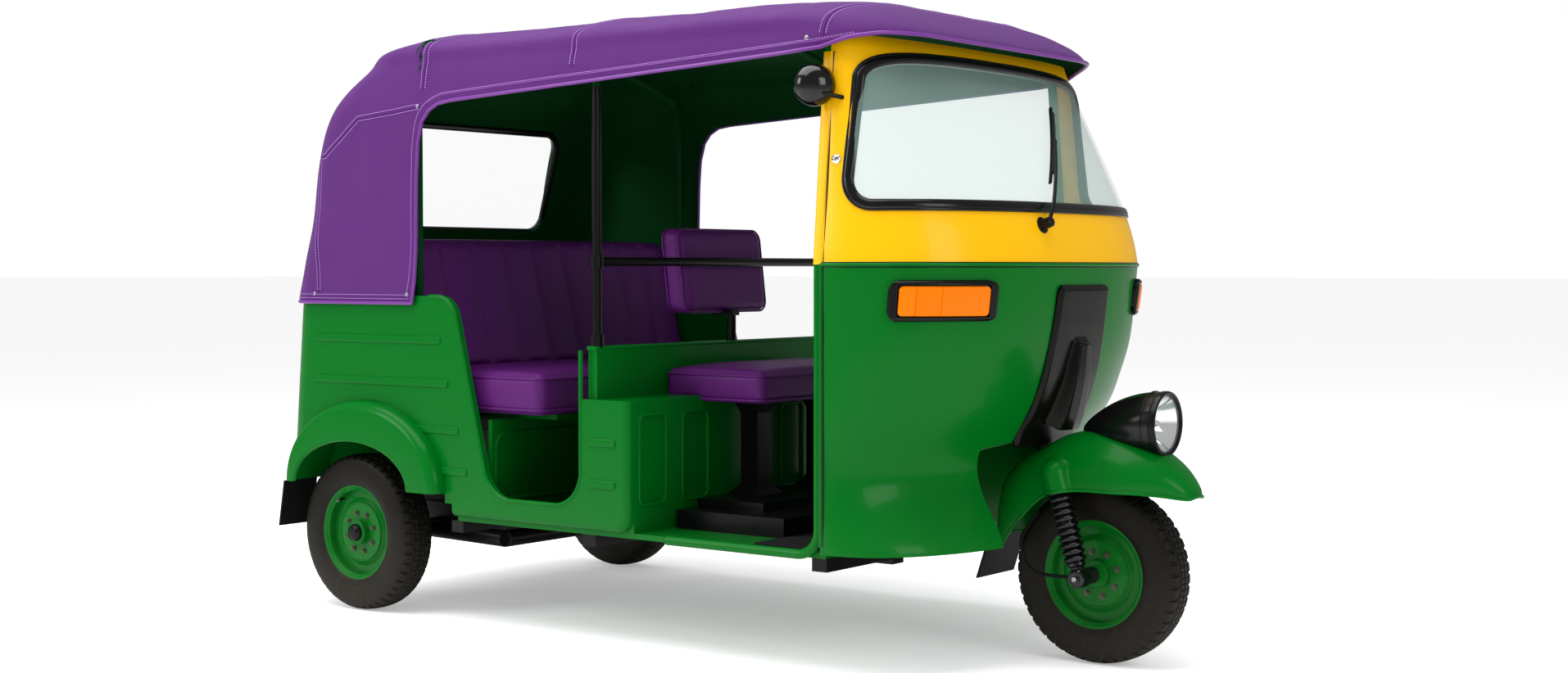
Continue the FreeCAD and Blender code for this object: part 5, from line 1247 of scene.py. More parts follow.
@dataclass
class Seats:
    """The stuffed pieces: bench, bench back with sewn channels, driver's cushion and backrest."""

    channels: int = 9
    welt: float = 0.0036
    back_thick: float = 0.088
    # how far the driver's cushion and backrest stand beyond their plain blocks, low and high corner
    cushion_grow: tuple = ((0.0, 0.06, 0.018), (0.045, 0.06, 0.0))
    rest_grow: tuple = ((0.0, 0.012, 0.008), (0.0, 0.012, 0.007))
    rest_lean: float = 0.12

    def crowned(self, node: str, crown: float, pull: float, radius: float, cells: Sequence[int],
                grow: Sequence[Numbers] = AS_IS, lean: float = 0.0) -> Piece:
        """A stuffed block in a node's place: its top domes and its sides draw in between the corners."""
        low, high = grown(node, grow)
        half = (high - low) / 2

        def shape(points: Array, normal: Array, share: Array) -> Array:
            """Dome the top, draw in the sides, wrinkle the cover and lean the block."""
            dome = (1 - share[:, 0] ** 4) * (1 - share[:, 1] ** 4)
            out = points.copy()
            top = np.clip(points[:, 2] / half[2], 0, 1)
            out[:, 2] += crown * dome * top
            belly = np.cos(share[:, 2] * np.pi / 2)
            for axis, other in ((0, 1), (1, 0)):
                sag = pull * (1 - share[:, other] ** 6) * np.abs(normal[:, axis]) * (0.5 - belly)
                out[:, axis] += np.sign(normal[:, axis]) * -sag
            x, y = points[:, 0], points[:, 1]
            wrinkle = 0.0012 * np.sin(19 * x + 7 * y) * np.sin(11 * y - 13 * x)
            out = out + normal * (wrinkle * dome * top)[:, None]
            out[:, 0] -= lean * out[:, 2]
            return out

        return rounded_block(node + "_padded", low, high, radius, shape, Look.SEAT, cells)

    def bench_back(self) -> Piece:
        """The leaning back: its front swells between sewn channels, and its top rolls over.

        The block is made upright and its points are then moved back by their height times the lean; a
        channel's swell is the square root of |sin| across it, fading towards the upper and lower edges.
        """
        low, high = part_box("bench_back")
        thick = self.back_thick
        rise = high[2] - low[2]
        lean = ((high[0] - low[0]) - thick) / rise

        def shape(points: Array, normal: Array, share: Array) -> Array:
            """Swell the front between its channels and lean the block."""
            out = points.copy()
            front = np.clip(normal[:, 0], 0, 1)
            across = (share[:, 1] * 0.5 + 0.5) * self.channels
            swell = np.sqrt(np.abs(np.sin(np.pi * across)))
            fade = np.clip((1 - np.abs(share[:, 2])) / 0.1, 0, 1) ** 0.6
            out[:, 0] += front * (0.0125 * swell * fade - 0.0085 * fade - 0.004)
            out[:, 2] += 0.004 * np.clip(normal[:, 2], 0, 1) * (1 - share[:, 1] ** 8)
            out[:, 0] -= out[:, 2] * lean
            return out

        half = np.array([thick, high[1] - low[1], rise]) / 2
        middle = (np.array(low) + np.array(high)) / 2
        return rounded_block("bench_back_padded", middle - half, middle + half, 0.028, shape,
                             Look.SEAT, (16, 330, 60))

    def welts(self, node: str, inset: float, levels: Numbers, radius: float,
              grow: Sequence[Numbers] = AS_IS) -> list:
        """Piping round a level cushion at the given heights, as shares from its foot to its top."""
        low, high = grown(node, grow)
        half, middle = (high - low) / 2, (high + low) / 2
        outline = rounded_rectangle(half[0] - inset, half[1] - inset, radius, 9)
        made = []
        for count, share in enumerate(levels):
            z = low[2] + (high[2] - low[2]) * share
            path = np.column_stack([outline + middle[:2], np.full(len(outline), z)])
            made.append(tube("%s_welt%d" % (node, count), path, self.welt, Look.SEAT, sides=10, closed=True))
        return made

    def rest_welts(self) -> list:
        """Piping round the backrest's front and rear faces."""
        low, high = grown("driver_backrest", self.rest_grow)
        half, middle = (high - low) / 2, (high + low) / 2
        outline = rounded_rectangle(half[1] - 0.002, half[2] - 0.002, 0.032, 9)
        made = []
        for way in (-1, 1):
            x = middle[0] + way * (half[0] - 0.012)
            path = stood(outline, x - self.rest_lean * outline[:, 1], middle[1], middle[2])
            made.append(tube("rest_welt%d" % way, path, self.welt * 0.8, Look.SEAT, (1, 0, 0), 10, True))
        return made

    def build(self) -> None:
        """Make each stuffed piece."""
        stuffed = (
            self.crowned("bench_cushion", 0.012, 0.006, 0.03, (60, 130, 24)),
            self.crowned("driver_cushion", 0.014, 0.005, 0.024, (60, 90, 20), self.cushion_grow),
            self.crowned("driver_backrest", 0.0, 0.0, 0.032, (24, 60, 50), self.rest_grow, self.rest_lean),
            self.bench_back())
        for piece in stuffed:
            place(piece, "cab", "seat_leather", piece.name.removesuffix("_padded"))
        cords = (self.welts("bench_cushion", 0.002, (0.13, 0.86), 0.03)
                 + self.welts("driver_cushion", 0.0015, (0.1, 0.84), 0.024, self.cushion_grow)
                 + self.rest_welts())
        place(joined("seat_welts", cords), "cab", "seat_leather")
        LOG.info("seats done")


# Nose


@dataclass
class Nose:
    """Trim of cowl and screen: seals, edges, indicators, garnish, screw, mirror and wiper."""

    belt: float = 0.99
    top: float = 1.54
    side: float = 0.605
    upper: float = 0.545
    pillar: float = 0.634
    root_lean: float = 0.009
    reach: float = 0.376
    # height, reach share and power of the plan sections
    rows: tuple = ((0.26, 0.7, 1.8), (0.42, 0.7, 1.8), (0.556, 0.72, 1.8), (0.624, 0.81, 2.1),
                   (0.69, 0.875, 2.25), (0.748, 0.915, 2.4), (0.86, 0.968, 2.5), (0.99, 1.0, 2.55),
                   (1.11, 0.93, 2.5), (1.3, 0.66, 2.5), (1.5, 0.3, 2.5), (1.6, 0.12, 2.5))
    edge_bead: float = 0.0058
    # the window's rear edge, foot, head, corner radius and the head's rise
    window: tuple = (0.676, 1.112, 1.492, 0.084, 0.4)
    seal_inset: float = 0.0195
    pivot: tuple = (0.999, -0.17, 1.098)
    blade_end: tuple = (0.811, 0.182, 1.4)
    # the screw's x and z, and half the length of its slots
    knob: tuple = (0.66, 1.24, 0.007)
    mirror: tuple = (0.602, -0.586, 1.417)
    mirror_way: tuple = (0.7431, -0.6691, 0.0)
    mirror_radius: float = 0.051
    # bezel and lens: middle angle and half angle, then half length, half height and corner radius
    bezel: tuple = (0.855, 0.335, 0.137, 0.0485, 0.03)
    lens: tuple = (0.852, 0.272, 0.111, 0.035, 0.012)
    lamp_z: float = 0.905
    # the garnish's middle height, half height, and half widths at its top and foot
    plate: tuple = (0.7375, 0.2025, 0.124, 0.147)
    # the tongue's foot, top, and half widths there
    tongue: tuple = (0.6, 0.812, 0.074, 0.034)

    def shape(self, z: Array) -> tuple[Array, Array, Array, Array]:
        """Half width, root, reach and power of the plan section at heights z."""
        table = smooth_curve(self.rows, 300)
        lean = np.clip((z - self.belt) / (self.top - self.belt), 0, None)
        return (self.side + (self.upper - self.side) * lean, self.pillar - self.root_lean * lean,
                self.reach * np.interp(z, table[:, 0], table[:, 1]), np.interp(z, table[:, 0], table[:, 2]))

    def point(self, angle: Array, z: Array) -> Array:
        """Points of the nose: a superellipse, the angle measured from straight ahead to the right."""
        half, root, reach, power = self.shape(z)
        x = root + reach * np.cos(angle) ** (2 / power)
        y = -half * np.sign(angle) * np.abs(np.sin(angle)) ** (2 / power)
        return np.stack([x, y, z * np.ones_like(x)], axis=-1)

    def lift(self, angle: Array, z: Array, level: Array) -> Array:
        """Points at a level over the nose, along its normals."""
        step = 1e-4
        along = self.point(angle + step, z) - self.point(angle - step, z)
        up = self.point(angle, z + step) - self.point(angle, z - step)
        normal = unit(np.cross(up, along))
        return self.point(angle, z) + normal * np.sign(normal[..., :1]) * level[..., None]

    def ahead(self, across: Array, z: Array) -> Array:
        """The angle at which the nose has a given distance across, to the right."""
        half, _, _, power = self.shape(z)
        return np.sign(across) * np.arcsin(np.clip(np.abs(across) / half, 0, 1) ** (power / 2))

    def indicators(self) -> Piece:
        """Bezels with a rolled rim and recess, and amber lenses in three sections."""
        made = []
        for way in (-1, 1):
            for name, (middle, reach, long, high, radius), kind in (
                    ("bezel", self.bezel, Look.BLACK_PLASTIC), ("lens", self.lens, Look.AMBER)):
                def height(across: Array, up: Array) -> Array:
                    """The bezel's rolled rim round its recess, or the lens with its grooves."""
                    edge = np.minimum(long - np.abs(across), high - np.abs(up))
                    if name == "bezel":
                        inner = np.maximum(np.abs(across) - self.lens[2] - 0.001,
                                           np.abs(up) - self.lens[3] - 0.001)
                        return 0.009 * np.sqrt(np.clip(edge / 0.008, 0, 1)) + 0.004 - 0.009 * (inner < 0)
                    share = across / long
                    cut = sum(np.clip(1 - np.abs(share - mark) / 0.012, 0, 1) for mark in (0.62, 0.06))
                    fine = 0.0006 * np.sin(share * 130) * (share < 0.6)
                    return 0.0105 + 0.003 * np.clip(edge / 0.006, 0, 1) ** 0.5 - 0.0028 * cut + fine

                def lay(across: Array, up: Array, level: Array) -> Array:
                    """Points over the nose, the length turned into an angle."""
                    angle = middle + across / long * reach
                    return self.lift(way * angle, self.lamp_z + up, level)

                made.append(pad("%s%d" % (name, way), (long, high), radius, height, 0.002, lay, kind,
                                (240, 44) if name == "lens" else (140, 60)))
        return joined("indicator_units", made)

    def garnish(self) -> Piece:
        """The bevelled plate on the nose with its raised, widening tongue."""
        middle, high, top, foot = self.plate
        low, crown, wide, narrow = self.tongue

        def spread(up: Array) -> Array:
            """The plate's half width at a height."""
            return foot + (top - foot) * (up / high * 0.5 + 0.5)

        def height(across: Array, up: Array) -> Array:
            """The bevelled plate, and on it the tongue that grows downwards."""
            across = across / top
            side = (1 - np.abs(across)) * spread(up)
            edge = np.minimum(side, high - np.abs(up))
            z = middle + up
            half = np.interp(z, (low, crown), (wide, narrow))
            inside = half - np.abs(across) * spread(up)
            down = np.clip((crown - z) / (crown - low), 0, 1)
            raised = (step_up(inside, 0.0, 0.012 + 0.018 * down) * step_up(crown - z, 0.0, 0.016)
                      * step_up(z, low, low + 0.006))
            ridge = np.clip(inside / half, 0, 1)
            flat = 0.004 + 0.0085 * np.clip(edge / 0.012, 0, 1)
            return flat + raised * (0.014 + 0.026 * down + 0.005 * ridge)

        def lay(across: Array, up: Array, level: Array) -> Array:
            """Points over the nose, at the plate's own width."""
            z = middle + up
            return self.lift(self.ahead(across / top * spread(up), z), z, level)

        return pad("garnish_plate", (top, high), 0.02, height, 0.003, lay, Look.GARNISH, (90, 180))

    def half_loop(self, inset: float, steps: int = 80) -> Array:
        """The right half of the window's outline, from the foot's middle round to the head's middle."""
        rear, foot, head, radius, rise = self.window
        rear, foot, radius = rear + inset, foot + inset, radius - inset
        head = head - inset * math.hypot(1, rise) + inset * rise
        bend = rounded_path([(rear + 0.2, foot), (rear, foot), (rear, head), (rear + 0.2, head + 0.2 * rise)],
                            (radius, radius), 14)[1:-1]
        _, root, reach, power = self.shape(bend[:, 1])
        angle = np.arccos(np.clip((bend[:, 0] - root) / reach, 0, 1) ** (power / 2))
        low = np.linspace(0, angle[0], steps, endpoint=False)
        high = np.linspace(angle[-1], 0, steps + 1)[1:]
        z = np.full_like(high, head)
        for _ in range(40):
            z = 0.5 * z + 0.5 * (head + rise * (self.point(high, z)[:, 0] - rear))
        return np.concatenate([self.point(low, np.full_like(low, foot)), self.point(angle, bend[:, 1]),
                               self.point(high, z)])

    def outward(self, points: Array) -> Array:
        """Rough outward directions of the nose at points on it."""
        half, root, reach, _ = self.shape(points[:, 2])
        ahead = np.clip((points[:, 0] - root) / reach, 0, 1)
        return unit(np.stack([ahead / reach * 0.5, points[:, 1] / half / half, ahead * 1.1], axis=-1))

    def laid(self, skin: Skin, points: Array) -> tuple[Array, Array]:
        """The points drawn onto the skin from outside, and its normals there."""
        out = self.outward(points)
        return skin.hit(points + out * 0.25, -out)

    def seals(self, skin: Skin, cloth: Piece) -> list:
        """Thick rubber round the windscreen, with a lip, and a thinner one round the rear window."""
        half = self.half_loop(self.seal_inset)
        loop = np.concatenate([half, half[-2:0:-1] * np.array([1, -1, 1])])
        path, normal = self.laid(skin, loop)
        rubber = Look.SEAL
        made = [band("screen_seal", path - normal * 0.003, normal, 0.0135, 0.01, rubber, closed=True, sides=18)]
        outer = self.half_loop(self.seal_inset - 0.0115)
        lip, lean = self.laid(skin, np.concatenate([outer, outer[-2:0:-1] * np.array([1, -1, 1])]))
        made.append(band("screen_lip", lip + lean * 0.0015, lean, 0.0042, 0.0042, rubber, closed=True))
        across, low, high, radius = Hood().window
        ring = rounded_rectangle(across + 0.005, (high - low) / 2 + 0.005, radius + 0.005, 14)
        path, normal = Skin(cloth).hit(stood(ring, -2.0, 0.0, (low + high) / 2), (1.0, 0.0, 0.0))
        flat = unit(normal.mean(axis=0))
        middle = path.mean(axis=0)
        path = path - ((path - middle) @ flat)[:, None] * flat
        made.append(band("rear_seal", path - flat * 0.001, flat, 0.0105, 0.0085, rubber, closed=True))
        pane = np.stack([path - flat * depth for depth in (0.004, 0.007)])
        place(capped("rear_pane", pane, Look.FILM), "cab", "clear_glass", "rear_window")
        return made

    def edges(self) -> None:
        """Rolled beads round the belt and up both rear edges, covers on the pillars, and dark seams."""
        belt = self.point(np.linspace(-np.pi / 2, np.pi / 2, 200), np.full(200, self.belt))
        green, yellow = [tube("belt_bead", belt, 0.0045, Look.GREEN)], []
        seam = [tube("belt_seam", belt * np.array([1.0, 1.0005, 1.0]) - np.array([0.0, 0.0, drop]), 0.0013,
                     Look.SEAL, sides=8) for drop in (0.0062, -0.0052)]
        rise = np.linspace(self.belt, 1.498, 30)
        half, root, _, _ = self.shape(rise)
        for way in (-1, 1):
            foot = np.array([[self.pillar + 0.001, way * (self.side - 0.002), z]
                             for z in np.linspace(0.318, self.belt, 30)])
            up = np.stack([root + 0.001, way * (half - 0.002), rise], axis=1)
            green.append(tube("cowl_edge%d" % way, foot, self.edge_bead, Look.GREEN, up=(1, 0, 0)))
            yellow.append(tube("surround_edge%d" % way, up, self.edge_bead, Look.YELLOW, up=(1, 0, 0)))
            cover = up + np.array([-0.0095, way * -0.0012, 0.0])
            yellow.append(band("pillar_cover%d" % way, cover, (0.0, way, 0.0), 0.0125, 0.0052, Look.YELLOW,
                               square=0.5))
            for line, ahead, out in ((up, 0.0085, 0.0018), (foot, 0.008, 0.0022)):
                seam.append(tube("panel_seam%d" % way, line + np.array([ahead, way * out, 0.0]), 0.0019,
                                 Look.SEAL, up=(1, 0, 0), sides=8))
        place(joined("cowl_edges", green), "cab", "green_paint")
        place(joined("surround_edges", yellow), "cab", "yellow_paint")
        place(joined("panel_seams", seam), "cab", "black_rubber")

    def wiper(self, skin: Skin) -> list:
        """The pivot's cap, the arm and the blade with its bridge, laid on the screen."""
        share = np.linspace(0, 1, 60)[:, None]
        line = np.array(self.pivot) * (1 - share) + np.array(self.blade_end) * share
        path, normal = self.laid(skin, line)
        black, rubber = Look.BLACK_PLASTIC, Look.RUBBER
        lift = np.interp(share, (0.0, 0.12, 0.6), (0.02, 0.026, 0.016))
        made = [band("arm", (path + normal * lift)[:40], normal[:40], 0.0052, 0.0032, black, square=0.6)]
        made.append(band("blade", (path + normal * 0.005)[18:], normal[18:], 0.0028, 0.0055, rubber))
        made.append(band("bridge", (path + normal * 0.0125)[22:56], normal[22:56], 0.0042, 0.0024, black,
                         square=0.5))
        cap = [(0.0, 0.012), (0.008, 0.0115), (0.0125, 0.008), (0.0135, 0.0), (0.0135, -0.022), (0.0, -0.022)]
        made.append(lathe("pivot", cap, path[0] + normal[0] * 0.02, normal[0], black, 32))
        skirt = [(0.0, 0.004), (0.016, 0.004), (0.021, 0.001), (0.022, -0.006), (0.0, -0.006)]
        made.append(lathe("pivot_skirt", skirt, path[0], normal[0], rubber, 32))
        return made

    def screw(self, skin: Skin) -> list:
        """The chromed, cross-headed screw on the surround."""
        x, z, slot = self.knob
        spot, out = skin.hit(np.array([[x, -2.0, z]]), (0.0, 1.0, 0.0))
        dome = [(0.0, 0.008), (0.005, 0.0074), (0.0095, 0.0052), (0.0125, 0.0015), (0.0135, -0.002)]
        made = [lathe("knob", dome, spot[0], out[0], Look.CHROME, 32)]
        first = unit(np.cross(out[0], (1.0, 0.0, 0.4)))
        for count, way in enumerate((first, np.cross(out[0], first))):
            bar = spot[0] + out[0] * slot + np.linspace(-slot, slot, 6)[:, None] * way
            made.append(tube("knob_slot%d" % count, bar, 0.0011, Look.RUBBER, up=out[0], sides=8))
        return made

    def round_mirror(self, skin: Skin) -> list:
        """The mirror: a domed housing with a flat glass, its arm to the surround, and a stud."""
        size, centre, way = self.mirror_radius, np.array(self.mirror), np.array(self.mirror_way)
        turn = np.linspace(0, np.pi / 2, 24)
        ball = np.column_stack([size * np.cos(turn) ** 0.9, 0.004 + 0.04 * np.sin(turn)])
        rim = [(0.0, 0.0), (size - 0.005, 0.0), (size - 0.004, -0.003), (size - 0.001, -0.003)]
        glass = [(0.0, 0.0016), (size - 0.0075, 0.0016), (size - 0.0055, 0.0004), (size - 0.0055, -0.001),
                 (0.0, -0.001)]
        root = skin.hit(np.array([[0.664, -2.0, centre[2] - 0.03]]), (0.0, 1.0, 0.0))[0][0]
        middle = centre + 0.02 * way
        arm = smooth_curve([middle, middle + (0.022, 0.0, -0.02), root + (0.0, -0.004, 0.0),
                            root + (0.0, 0.006, 0.0)], 24)
        stud = [(0.0, 0.003), (0.0022, 0.0026), (0.003, 0.0), (0.0, -0.001)]
        return [lathe("mirror_shell", np.concatenate([rim, ball]), centre, way, Look.GLOSS, 96),
                lathe("mirror_glass", glass, centre, -way, Look.CHROME, 64),
                tube("mirror_arm", arm, 0.0055, Look.BLACK_PLASTIC, up=(0.3, 1.0, 0.2)),
                lathe("mirror_stud", stud, centre + 0.0435 * way, way, Look.BLACK_PLASTIC, 20)]

    def build(self, cloth: Piece) -> None:
        """Lay every piece of the nose's trim."""
        nodes = frame["nodes"]
        skin = Skin(nodes["windscreen_surround"], nodes["windscreen"], nodes["window_seals"])
        place(joined("rubber_seals", self.seals(skin, cloth)), "cab", "black_rubber", "window_seals")
        place(joined("wiper_arm", self.wiper(skin)), "cab", "black_plastic", "wiper")
        place(self.indicators(), "cab", "amber_plastic", "indicator_bezels", "indicator_lenses")
        place(self.garnish(), "cab", "black_plastic", "nose_garnish")
        self.edges()
        screw = self.screw(skin)
        place(joined("round_mirror", self.round_mirror(skin)), "cab", "black_plastic", "mirror")
        place(joined("nose_fittings", screw), "cab", "black_plastic")
        LOG.info("nose trim done")


# Steered front end


@dataclass
class FrontEnd:
    """What steers: the mudguard, the lamp, the sprung leg and the handlebar's fittings."""

    axle: tuple = (1.065, 0.0, 0.224)
    # turn in degrees, then the low edge's and the crest's radius and the half width
    rows: tuple = ((38.6, 0.322, 0.331, 0.034), (42, 0.306, 0.3395, 0.055), (48, 0.283, 0.3455, 0.078),
                   (54, 0.264, 0.349, 0.096), (62, 0.243, 0.352, 0.109), (70, 0.2285, 0.355, 0.116),
                   (80, 0.2185, 0.357, 0.118), (92, 0.2145, 0.357, 0.118), (104, 0.2165, 0.353, 0.117),
                   (116, 0.221, 0.345, 0.114), (128, 0.2185, 0.3475, 0.113), (139, 0.2185, 0.343, 0.109),
                   (150, 0.226, 0.318, 0.101), (158, 0.232, 0.299, 0.097), (164, 0.238, 0.288, 0.0946))
    guard_sheet: float = 0.0022
    # the leg's cover: how far up the leg its round top stands, its radius and its softness
    cover: tuple = (0.262, 0.0345, 0.006)
    lamp: tuple = (1.236, 0.0, 0.602)
    lamp_radius: float = 0.076
    # the lamp shell's depth behind its rim and its radius there
    shell: tuple = ((0.0, 0.0785), (0.03, 0.0788), (0.062, 0.0768), (0.098, 0.0705), (0.132, 0.0605),
                    (0.162, 0.048), (0.188, 0.034), (0.207, 0.0205), (0.217, 0.01), (0.22, 0.0))
    foot: tuple = (1.065, -0.116, 0.224)
    head: tuple = (1.000, -0.116, 0.455)
    bar: tuple = (0.6597, 0.0, 1.053)
    coils: int = 12

    def guard(self) -> Piece:
        """The mudguard: a dome over the wheel that swells over the leg's top, with a rolled edge.

        At each turn round the axle a section runs from the right edge over the crest to the left edge as
        a superellipse. Where the leg's cover stands further out than the dome, a smooth least value of
        both y takes its place.
        """
        table = smooth_curve(self.rows, 300)
        turn = np.interp(np.linspace(0, 1, 260), np.linspace(0, 1, 300), table[:, 0])
        low, crest, half = (np.interp(turn, table[:, 0], table[:, k])[:, None] for k in (1, 2, 3))
        section = np.linspace(-np.pi / 2, np.pi / 2, 120)[None, :]
        reach = low + (crest - low) * np.cos(section).clip(0) ** 0.87
        across = half * np.sign(section) * np.abs(np.sin(section)) ** 0.87
        angle = np.radians(turn)[:, None]
        x, z = self.axle[0] + reach * np.cos(angle), self.axle[2] + reach * np.sin(angle)
        foot, head = np.array(self.foot), np.array(self.head)
        way = unit(head - foot)
        top, radius, soft = self.cover
        along = (x - foot[0]) * way[0] + (z - foot[2]) * way[2]
        off = (x - foot[0]) * way[2] - (z - foot[2]) * way[0]
        far = np.hypot(off, np.clip(along - top, 0, None))
        swell = foot[1] - np.sqrt(np.clip(radius ** 2 - far ** 2, 0, None)) + 3 * np.clip(far - radius, 0, None)
        both = -soft * np.logaddexp(-across / soft, -np.minimum(swell, 0.2) / soft)
        across = np.where(across < 0, both, across)
        points = np.stack([x, across, z], axis=-1)
        green = Look.GREEN
        sheet = surface("guard_sheet", points, green)
        wall = sheet.modifiers.new("wall", "SOLIDIFY")
        wall.thickness = self.guard_sheet
        wall.offset = -1
        bake(sheet)
        loop = np.concatenate([points[:, 0], points[-1, 1:-1], points[::-1, -1], points[0, -2:0:-1]])
        closed = np.concatenate([loop, loop[:1]])
        run = run_length(closed)
        loop = sampled(np.linspace(0, run[-1], 420, endpoint=False), run, closed)
        for _ in range(4):
            loop = (np.roll(loop, 1, axis=0) + loop * 2 + np.roll(loop, -1, axis=0)) / 4
        bead = tube("guard_bead", loop, 0.0042, green, (0.0, 0.3, 1.0), 10, True)
        return joined("dressed_mudguard", [sheet, bead])

    def lamp_shell(self) -> Piece:
        """The headlamp's long shell, which sinks towards its tail."""
        outer = smooth_curve(self.shell, 60)
        inner = outer[::-1] * np.array([0.985, 0.955])
        line = np.concatenate([outer[::-1], inner[::-1]])
        depth, radius = line[:, :1], np.clip(line[:, 1:], 0, None)
        turn = np.linspace(0, 2 * np.pi, 96, endpoint=False)[None, :]
        drop = 0.024 * (depth / 0.22) ** 1.4
        points = np.stack([self.lamp[0] - 0.004 - depth + 0 * turn, radius * np.cos(turn),
                           self.lamp[2] - drop + radius * np.sin(turn)], axis=-1)
        return surface("lamp_shell", points, Look.SHELL, wrap_columns=True, sharp_deg=50)

    def lamp_parts(self) -> list:
        """The headlamp's rim, seam ring, reflector and bulb."""
        radius = self.lamp_radius
        rim = [(radius + out, along) for out, along in (
            (-0.006, 0.0035), (-0.004, 0.0062), (0.0, 0.0075), (0.0036, 0.0055), (0.0048, 0.0005),
            (0.0044, -0.008), (0.002, -0.0115), (-0.001, -0.012), (-0.006, -0.004))]
        seam = [(radius * share, along) for share, along in (
            (1.02, -0.028), (1.055, -0.029), (1.055, -0.032), (1.02, -0.033))]
        share = np.linspace(0.14, 1.0, 30)
        front = np.column_stack([share * (radius - 0.008), -0.062 * (1 - share ** 2) - 0.004])
        bowl = np.concatenate([front, front[::-1] - np.array([0.0, 0.0015]), front[:1]])
        bulb = [(0.0, -0.018), (0.004, -0.0185), (0.0075, -0.022), (0.0085, -0.028), (0.0085, -0.058),
                (0.011, -0.066), (0.0, -0.066)]
        parts = (("rim", rim + rim[:1], Look.BLACK_PLASTIC, 128), ("seam", seam, Look.BLACK_PLASTIC, 96),
                 ("bowl", bowl, Look.CHROME, 96), ("bulb", bulb, Look.STEEL, 32))
        return [lathe("lamp_" + name, profile, self.lamp, (1, 0, 0), kind, steps)
                for name, profile, kind, steps in parts]

    def leg(self) -> Piece:
        """The sprung leg: glossy ribs, a collar, a ringed boss and a ribbed boot towards the hub."""
        foot, head = np.array(self.foot), np.array(self.head)
        along = unit(head - foot)
        long = np.linalg.norm(head - foot)
        gloss, steel = Look.GLOSS, Look.STEEL
        start = 0.04
        place_on = np.linspace(start, long, self.coils * 12)
        wave = np.abs(np.sin(np.pi * (place_on - start) / (long - start) * self.coils)) ** 0.6
        ribs = np.column_stack([0.0195 + 0.0095 * wave, place_on])
        made = [lathe("leg_ribs", np.concatenate([[(0.0, start)], ribs]), foot, along, gloss, 64, 60)]
        collar = [(0.0, 0.041), (0.0205, 0.041), (0.0225, 0.038), (0.0225, 0.031), (0.0165, 0.027),
                  (0.015, 0.0)]
        made.append(lathe("leg_collar", collar, foot, along, gloss, 48))
        rings = [(0.0, 0.025), (0.0052, 0.025), (0.006, 0.0232), (0.0078, 0.0232), (0.0086, 0.0246),
                 (0.0116, 0.0246), (0.0124, 0.0222), (0.015, 0.0222), (0.016, 0.0236), (0.0196, 0.0232),
                 (0.0228, 0.0205), (0.024, 0.017), (0.024, -0.0205), (0.0225, -0.0225), (0.0, -0.0225)]
        made.append(lathe("leg_boss", rings, foot, (0, -1, 0), gloss, 64, 25))
        nut = [(0.0, 0.033), (0.0058, 0.033), (0.0072, 0.0318), (0.0076, 0.03), (0.0076, 0.024)]
        made.append(lathe("leg_nut", nut, foot, (0, -1, 0), steel, 6))
        place_on = np.linspace(0.022, 0.064, 60)
        wave = np.abs(np.sin(np.pi * (place_on - 0.022) / 0.042 * 4)) ** 0.7
        boot = np.column_stack([0.016 + 0.0045 * wave, place_on])
        made.append(lathe("leg_boot", np.concatenate([boot, [(0.0131, 0.064)]]), foot, (0, 1, 0),
                          Look.RUBBER, 48, 60))
        return joined("sprung_leg", made)

    def bar_fittings(self) -> list:
        """Ribbed grips with end flanges, lever clamps and levers, and the dial on the pod."""
        made = []
        rubber, black, steel = Look.RUBBER, Look.BLACK_PLASTIC, Look.STEEL
        for way in (-1, 1):
            place_on = np.linspace(0.0, 0.118, 150)
            ribs = 0.0178 + 0.0011 * (np.sin(place_on / 0.118 * np.pi * 30) > 0)
            flange = [(0.0, 0.125), (0.02, 0.1245), (0.0215, 0.122), (0.0205, 0.1185)]
            start = [(0.0125, -0.006), (0.0215, -0.006), (0.0225, -0.003), (0.0215, -0.0005)]
            profile = np.concatenate([start, np.column_stack([ribs, place_on]), flange[::-1]])
            centre = (self.bar[0], way * 0.175, self.bar[2])
            made.append(lathe("grip%d" % way, profile, centre, (0, way, 0), rubber, 40, 40))
            clamp = [(0.0125, -0.011), (0.0185, -0.01), (0.0195, -0.008), (0.0195, 0.008), (0.0185, 0.01),
                     (0.0125, 0.011)]
            centre = (self.bar[0], way * 0.152, self.bar[2])
            made.append(lathe("clamp%d" % way, clamp, centre, (0, way, 0), black, 40))
            knots = np.array([(0.016, 0.15, 0.0), (0.044, 0.158, -0.004), (0.058, 0.19, -0.008),
                              (0.056, 0.25, -0.012), (0.05, 0.296, -0.016)])
            lever = smooth_curve(knots * np.array([1, way, 1]) + np.array(self.bar), 40)
            made.append(band("lever%d" % way, lever, (0, 0, 1), 0.0062, 0.0038, steel, square=0.7))
            knob = [(0.0, 0.0075), (0.0055, 0.005), (0.0075, 0.0), (0.0055, -0.005), (0.0, -0.0075)]
            made.append(lathe("lever_end%d" % way, knob, lever[-1], (0, 0, 1), steel, 24))
        bezel = [(0.0, 0.0), (0.03, 0.0), (0.0305, 0.0035), (0.0335, 0.0045), (0.035, 0.0), (0.035, -0.012),
                 (0.0, -0.012)]
        dial_way = unit(np.array([-0.55, 0.0, 0.83]))
        centre = np.array(self.bar) + np.array([-0.022, 0.0, 0.02])
        made.append(lathe("dial", bezel, centre, dial_way, black, 64))
        face = [(0.0, 0.0009), (0.0295, 0.0009), (0.0295, 0.0)]
        made.append(lathe("dial_face", face, centre, dial_way, Look.LINING, 48))
        return made

